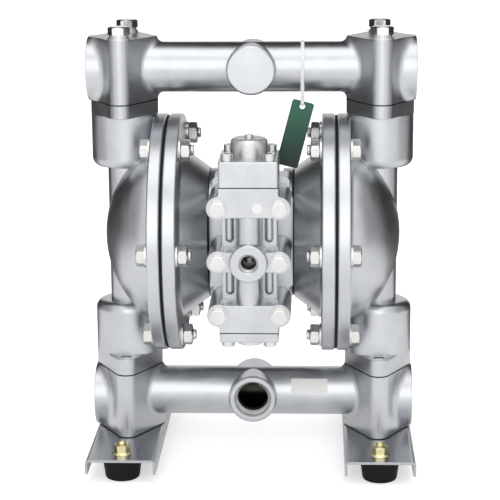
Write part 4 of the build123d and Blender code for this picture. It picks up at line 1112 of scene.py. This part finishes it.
@dataclass
class ResetSpring:
    """Spring under the reset button, in millimetres."""

    travel: float = 2.5

    def build(self) -> None:
        """Copies the spring into a piece of its own."""
        shape = copy_of("reset_spring")
        piece = finish_piece("reset_spring_wire", shape, SATIN_STEEL)
        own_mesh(piece)
        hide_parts("reset_spring")


@dataclass
class JointSeals:
    """Sheet gaskets at the joints of the castings and channels, in millimetres: real seals whose
    near-black edges, set proud, also stand for the painted shade in the gap.

    Each seam has a name, the casting that gives its outline, the height of the cut and its own.
    """

    column: float = 114.0
    thickness: float = 0.9
    # Painted shade: the gaskets stand slightly proud of the outline so that their near-black edges
    # show as the shaded gap of the joint.
    proud: float = 1.008
    band: float = 3.0
    seams: tuple[tuple[str, str, float, float], ...] = (
        ("upper", "liquid_chamber_{}", 325.5, 326.0),
        ("lower", "liquid_chamber_{}", 81.5, 81.0),
        ("base", "inlet_manifold", 22.4, 22.3),
    )

    def build(self) -> None:
        """Builds each gasket from the outline of the casting that it lies on."""
        for name, node, cut_z, seam_z in self.seams:
            for word, side in (("right", 1.0), ("left", -1.0)):
                ring = self.gasket(node.format(word), side, cut_z, seam_z)
                # Painted shade: each seal is near-black rubber that also stands for the shade in
                # the gap of the joint.
                finish_piece(f"{name}_{word}_seal", ring, RUBBER)

    def gasket(self, node: str, side: float, cut_z: float, seam_z: float) -> Shape:
        """Cuts a casting at a height and makes a flat ring of its outline.

        Args:
            node: casting to cut.
            side: 1 for the right column and -1 for the left one.
            cut_z: height of the cut, in millimetres.
            seam_z: height of the middle of the gasket, in millimetres.

        Returns:
            The gasket's bmesh, in metres.
        """
        shape = copy_of(node)
        bmesh.ops.bisect_plane(
            shape, geom=shape.verts[:] + shape.edges[:] + shape.faces[:], dist=ON_PLANE,
            plane_co=(0.0, 0.0, cut_z * MM), plane_no=(0.0, 0.0, 1.0),
            clear_inner=True, clear_outer=True,
        )
        far = max(shape.verts, key=lambda vert: side * vert.co.x)
        outline = {far}
        waiting = [far]
        while waiting:
            for edge in waiting.pop().link_edges:
                for vert in edge.verts:
                    if vert not in outline:
                        outline.add(vert)
                        waiting.append(vert)
        bmesh.ops.delete(shape, geom=[v for v in shape.verts if v not in outline], context="VERTS")
        bmesh.ops.dissolve_limit(
            shape, angle_limit=math.radians(1.0), verts=shape.verts, edges=shape.edges
        )
        base = (seam_z - self.thickness / 2 - cut_z) * MM
        bmesh.ops.translate(shape, vec=(0.0, 0.0, base), verts=shape.verts)
        centre = Vector((side * self.column * MM, 0.0, 0.0))
        bmesh.ops.scale(
            shape, vec=(self.proud, self.proud, 1.0), space=Matrix.Translation(-centre),
            verts=shape.verts,
        )
        face = bmesh.ops.contextual_create(shape, geom=shape.edges[:])["faces"]
        bmesh.ops.inset_region(
            shape, faces=face, thickness=self.band * MM, use_even_offset=True, use_boundary=True
        )
        inner = max(shape.faces, key=lambda face: len(face.verts))
        bmesh.ops.delete(shape, geom=[inner], context="FACES_ONLY")
        ring = bmesh.ops.extrude_face_region(shape, geom=shape.faces[:], use_keep_orig=True)["geom"]
        top = [item for item in ring if isinstance(item, bmesh.types.BMVert)]
        bmesh.ops.translate(shape, vec=(0.0, 0.0, self.thickness * MM), verts=top)
        bmesh.ops.recalc_face_normals(shape, faces=shape.faces)
        return shape


@dataclass
class Labels:
    """Blank label on the inlet manifold and blank sticker on the air valve, in millimetres."""

    tube_radius: float = 22.2
    label_x: tuple[float, float] = (35.0, 68.0)
    label_z: tuple[float, float] = (59.0, 70.6)
    sticker_centre: Point = (7.5, -104.0, 247.7)
    sticker_radius: float = 4.4
    paper: float = 0.12
    cells: int = 12

    def build(self) -> None:
        """Lays both papers on the metal."""
        self.tube_label()
        self.round_sticker()

    def tube_label(self) -> None:
        """Bends the label round the front of the tube."""
        shape = bmesh.new()
        width = self.label_x[1] - self.label_x[0]
        inlet_z = TUBE_Z["inlet"]
        start, stop = (math.asin((z - inlet_z) / self.tube_radius) for z in self.label_z)
        bmesh.ops.create_grid(shape, x_segments=self.cells, y_segments=self.cells, size=0.5)
        for vert in shape.verts:
            angle = start + (vert.co.y + 0.5) * (stop - start)
            radius = self.tube_radius + self.paper
            vert.co = Vector((
                self.label_x[0] + (vert.co.x + 0.5) * width,
                -radius * math.cos(angle),
                inlet_z + radius * math.sin(angle),
            )) * MM
        bmesh.ops.solidify(shape, geom=shape.faces[:], thickness=self.paper * MM)
        bmesh.ops.recalc_face_normals(shape, faces=shape.faces)
        finish_piece("blank_tube_label", shape, PAPER)

    def round_sticker(self) -> None:
        """Lays the round sticker on the upper bar of the valve."""
        shape = bmesh.new()
        bmesh.ops.create_cone(
            shape, cap_ends=True, segments=48, radius1=self.sticker_radius * MM,
            radius2=self.sticker_radius * MM, depth=self.paper * 2 * MM,
            matrix=Matrix.Translation((0, 0, self.paper * MM)),
        )
        sticker = place_copies(shape, Facing.FRONT, [self.sticker_centre])
        finish_piece("blank_round_sticker", sticker, PAPER)


@dataclass(frozen=True)
class Flag:
    """Plain dark or grey card that only reflections see, in metres."""

    name: str
    centre: Point
    aim: Point
    width: float
    height: float
    grey: float

    def build(self) -> None:
        """Hangs the card, unseen by the camera and without a shadow."""
        shape = bmesh.new()
        bmesh.ops.create_grid(shape, x_segments=1, y_segments=1, size=0.5)
        bmesh.ops.scale(shape, vec=(self.width, self.height, 1.0), verts=shape.verts)
        look = Vector(self.centre) - Vector(self.aim)
        turn = look.to_track_quat("Z", "Y").to_matrix().to_4x4()
        place = Matrix.Translation(Vector(self.centre)) @ turn
        bmesh.ops.transform(shape, matrix=place, verts=shape.verts)
        made = bpy.data.materials.new(self.name)
        tree = empty_tree(made)
        glow = add(tree, "ShaderNodeEmission", {"Color": (self.grey, self.grey, self.grey, 1.0)})
        add(tree, "ShaderNodeOutputMaterial", links={"Surface": glow.outputs["Emission"]})
        card = link_object(self.name, shape, made)
        for ray in ("camera", "diffuse", "shadow", "transmission", "volume_scatter"):
            setattr(card, f"visible_{ray}", False)


@dataclass(frozen=True)
class Lamp:
    """Soft square lamp, in metres and watts."""

    name: str
    centre: Point
    aim: Point
    size: float
    power: float

    def build(self) -> None:
        """Hangs the lamp and turns it to its aim."""
        lamp = bpy.data.lights.new(self.name, "AREA")
        lamp.shape = "SQUARE"
        lamp.size = self.size
        lamp.energy = self.power
        holder = bpy.data.objects.new(self.name, lamp)
        holder.location = self.centre
        look = Vector(self.aim) - Vector(self.centre)
        holder.rotation_euler = look.to_track_quat("-Z", "Y").to_euler()
        bpy.context.collection.objects.link(holder)


@dataclass
class Studio:
    """Floor, lamps, cards, world and camera, which stands where the photograph was taken from."""

    position: Point = (0.05637, -1.50045, 0.53871)
    yaw: float = -0.03935
    pitch: float = 0.22959
    roll: float = 0.00632
    focal_px: float = 1695.27
    frame_px: float = 500.0
    sensor_mm: float = 36.0
    floor_size: float = 6.0
    floor_grey: float = 0.86
    floor_glow: float = 0.5
    mirrored_glow: float = 0.25
    sky_light: float = 0.85
    background: float = 1.0
    lights: tuple[Lamp, ...] = (
        Lamp("front", (0.0, -1.9, 0.9), (0.0, 0.0, 0.2), 1.6, 7.5),
        Lamp("overhead", (0.0, -0.5, 1.9), (0.0, 0.0, 0.2), 1.3, 4.5),
    )
    cards: tuple[Flag, ...] = (
        Flag("high_back_card", (0.0, 0.86, 1.35), (0.0, 0.0, 0.25), 3.4, 1.42, 0.01),
        Flag("low_back_card", (0.0, 0.8, 0.004), (0.0, 0.8, -1.0), 2.4, 1.1, 0.1),
        Flag("left_back_card", (-0.95, 0.78, 0.6), (0.0, 0.0, 0.6), 1.1, 1.2, 0.02),
        Flag("right_back_card", (0.95, 0.78, 0.6), (0.0, 0.0, 0.6), 1.1, 1.2, 0.02),
        Flag("left_card", (-1.25, -0.1, 0.7), (0.0, -0.1, 0.7), 1.0, 1.4, 0.42),
        Flag("right_card", (1.25, -0.1, 0.7), (0.0, -0.1, 0.7), 1.0, 1.4, 0.42),
    )

    def build(self) -> None:
        """Builds the studio."""
        self.floor()
        self.world()
        for item in self.lights + self.cards:
            item.build()
        self.camera()

    def floor(self) -> None:
        """Builds the white floor, which keeps the pump's shadow."""
        shape = bmesh.new()
        bmesh.ops.create_grid(shape, x_segments=1, y_segments=1, size=self.floor_size)
        made = bpy.data.materials.new("white_studio_floor")
        tree = empty_tree(made)
        grey = (self.floor_grey, self.floor_grey, self.floor_grey, 1.0)
        paint = add(tree, "ShaderNodeBsdfDiffuse", {"Color": grey})
        path = add(tree, "ShaderNodeLightPath")
        mirrored = add(
            tree, "ShaderNodeMath", {1: self.mirrored_glow}, {0: self.seen(tree, path)},
            operation="MULTIPLY",
        )
        level = add(
            tree, "ShaderNodeMath", {1: self.floor_glow - self.mirrored_glow},
            {0: path.outputs["Is Camera Ray"], 2: mirrored.outputs[0]}, operation="MULTIPLY_ADD",
        )
        glow = add(tree, "ShaderNodeEmission", {"Color": WHITE}, {"Strength": level.outputs[0]})
        both = add(
            tree, "ShaderNodeAddShader",
            links={0: paint.outputs["BSDF"], 1: glow.outputs["Emission"]},
        )
        add(tree, "ShaderNodeOutputMaterial", links={"Surface": both.outputs["Shader"]})
        floor = link_object("studio_floor", shape, made)

    @staticmethod
    def seen(tree: Tree, path: Node) -> Socket:
        """Tells the rays that look at the background from those that carry its light.

        Args:
            tree: node tree of the floor or the world.
            path: its Light Path node.

        Returns:
            Socket that is 1 for camera, glossy and transmission rays.
        """
        seen = path.outputs["Is Camera Ray"]
        for kind in ("Is Glossy Ray", "Is Transmission Ray"):
            seen = add(
                tree, "ShaderNodeMath", links={0: seen, 1: path.outputs[kind]}, operation="MAXIMUM"
            ).outputs[0]
        return seen

    def world(self) -> None:
        """Sets a world that is white to the camera and in reflections, and soft on the object."""
        world = bpy.data.worlds.new("studio_world")
        bpy.context.scene.world = world
        tree = empty_tree(world)
        path = add(tree, "ShaderNodeLightPath")
        soft, white = (
            add(tree, "ShaderNodeBackground", {"Color": WHITE, "Strength": strength})
            for strength in (self.sky_light, self.background)
        )
        mixed = add(
            tree, "ShaderNodeMixShader",
            links={0: self.seen(tree, path), 1: soft.outputs[0], 2: white.outputs[0]},
        )
        add(tree, "ShaderNodeOutputWorld", links={"Surface": mixed.outputs["Shader"]})

    def camera(self) -> None:
        """Creates the camera from the fitted position, turn and focal length."""
        eye = bpy.data.cameras.new("photo_camera")
        eye.sensor_width = self.sensor_mm
        eye.lens = self.focal_px / self.frame_px * self.sensor_mm
        holder = bpy.data.objects.new("photo_camera", eye)
        forward = Vector((
            math.sin(self.yaw) * math.cos(self.pitch),
            math.cos(self.yaw) * math.cos(self.pitch),
            -math.sin(self.pitch),
        ))
        level = Vector((math.cos(self.yaw), -math.sin(self.yaw), 0.0))
        upward = level.cross(forward)
        right = math.cos(self.roll) * level - math.sin(self.roll) * upward
        up = math.sin(self.roll) * level + math.cos(self.roll) * upward
        turn = Matrix((right, up, -forward)).transposed().to_4x4()
        holder.matrix_world = Matrix.Translation(Vector(self.position)) @ turn
        bpy.context.collection.objects.link(holder)
        bpy.context.scene.camera = holder
        bpy.context.scene.view_settings.view_transform = "Standard"


def main() -> None:
    """Builds the pump's looks piece by piece."""
    logging.basicConfig(level=logging.INFO, format="%(name)s %(message)s")
    dress_cad_nodes()
    Fasteners().build()
    Ports().build()
    Diaphragms().build()
    ResetSpring().build()
    JointSeals().build()
    Labels().build()
    Studio().build()


if __name__ == "__main__":
    main()
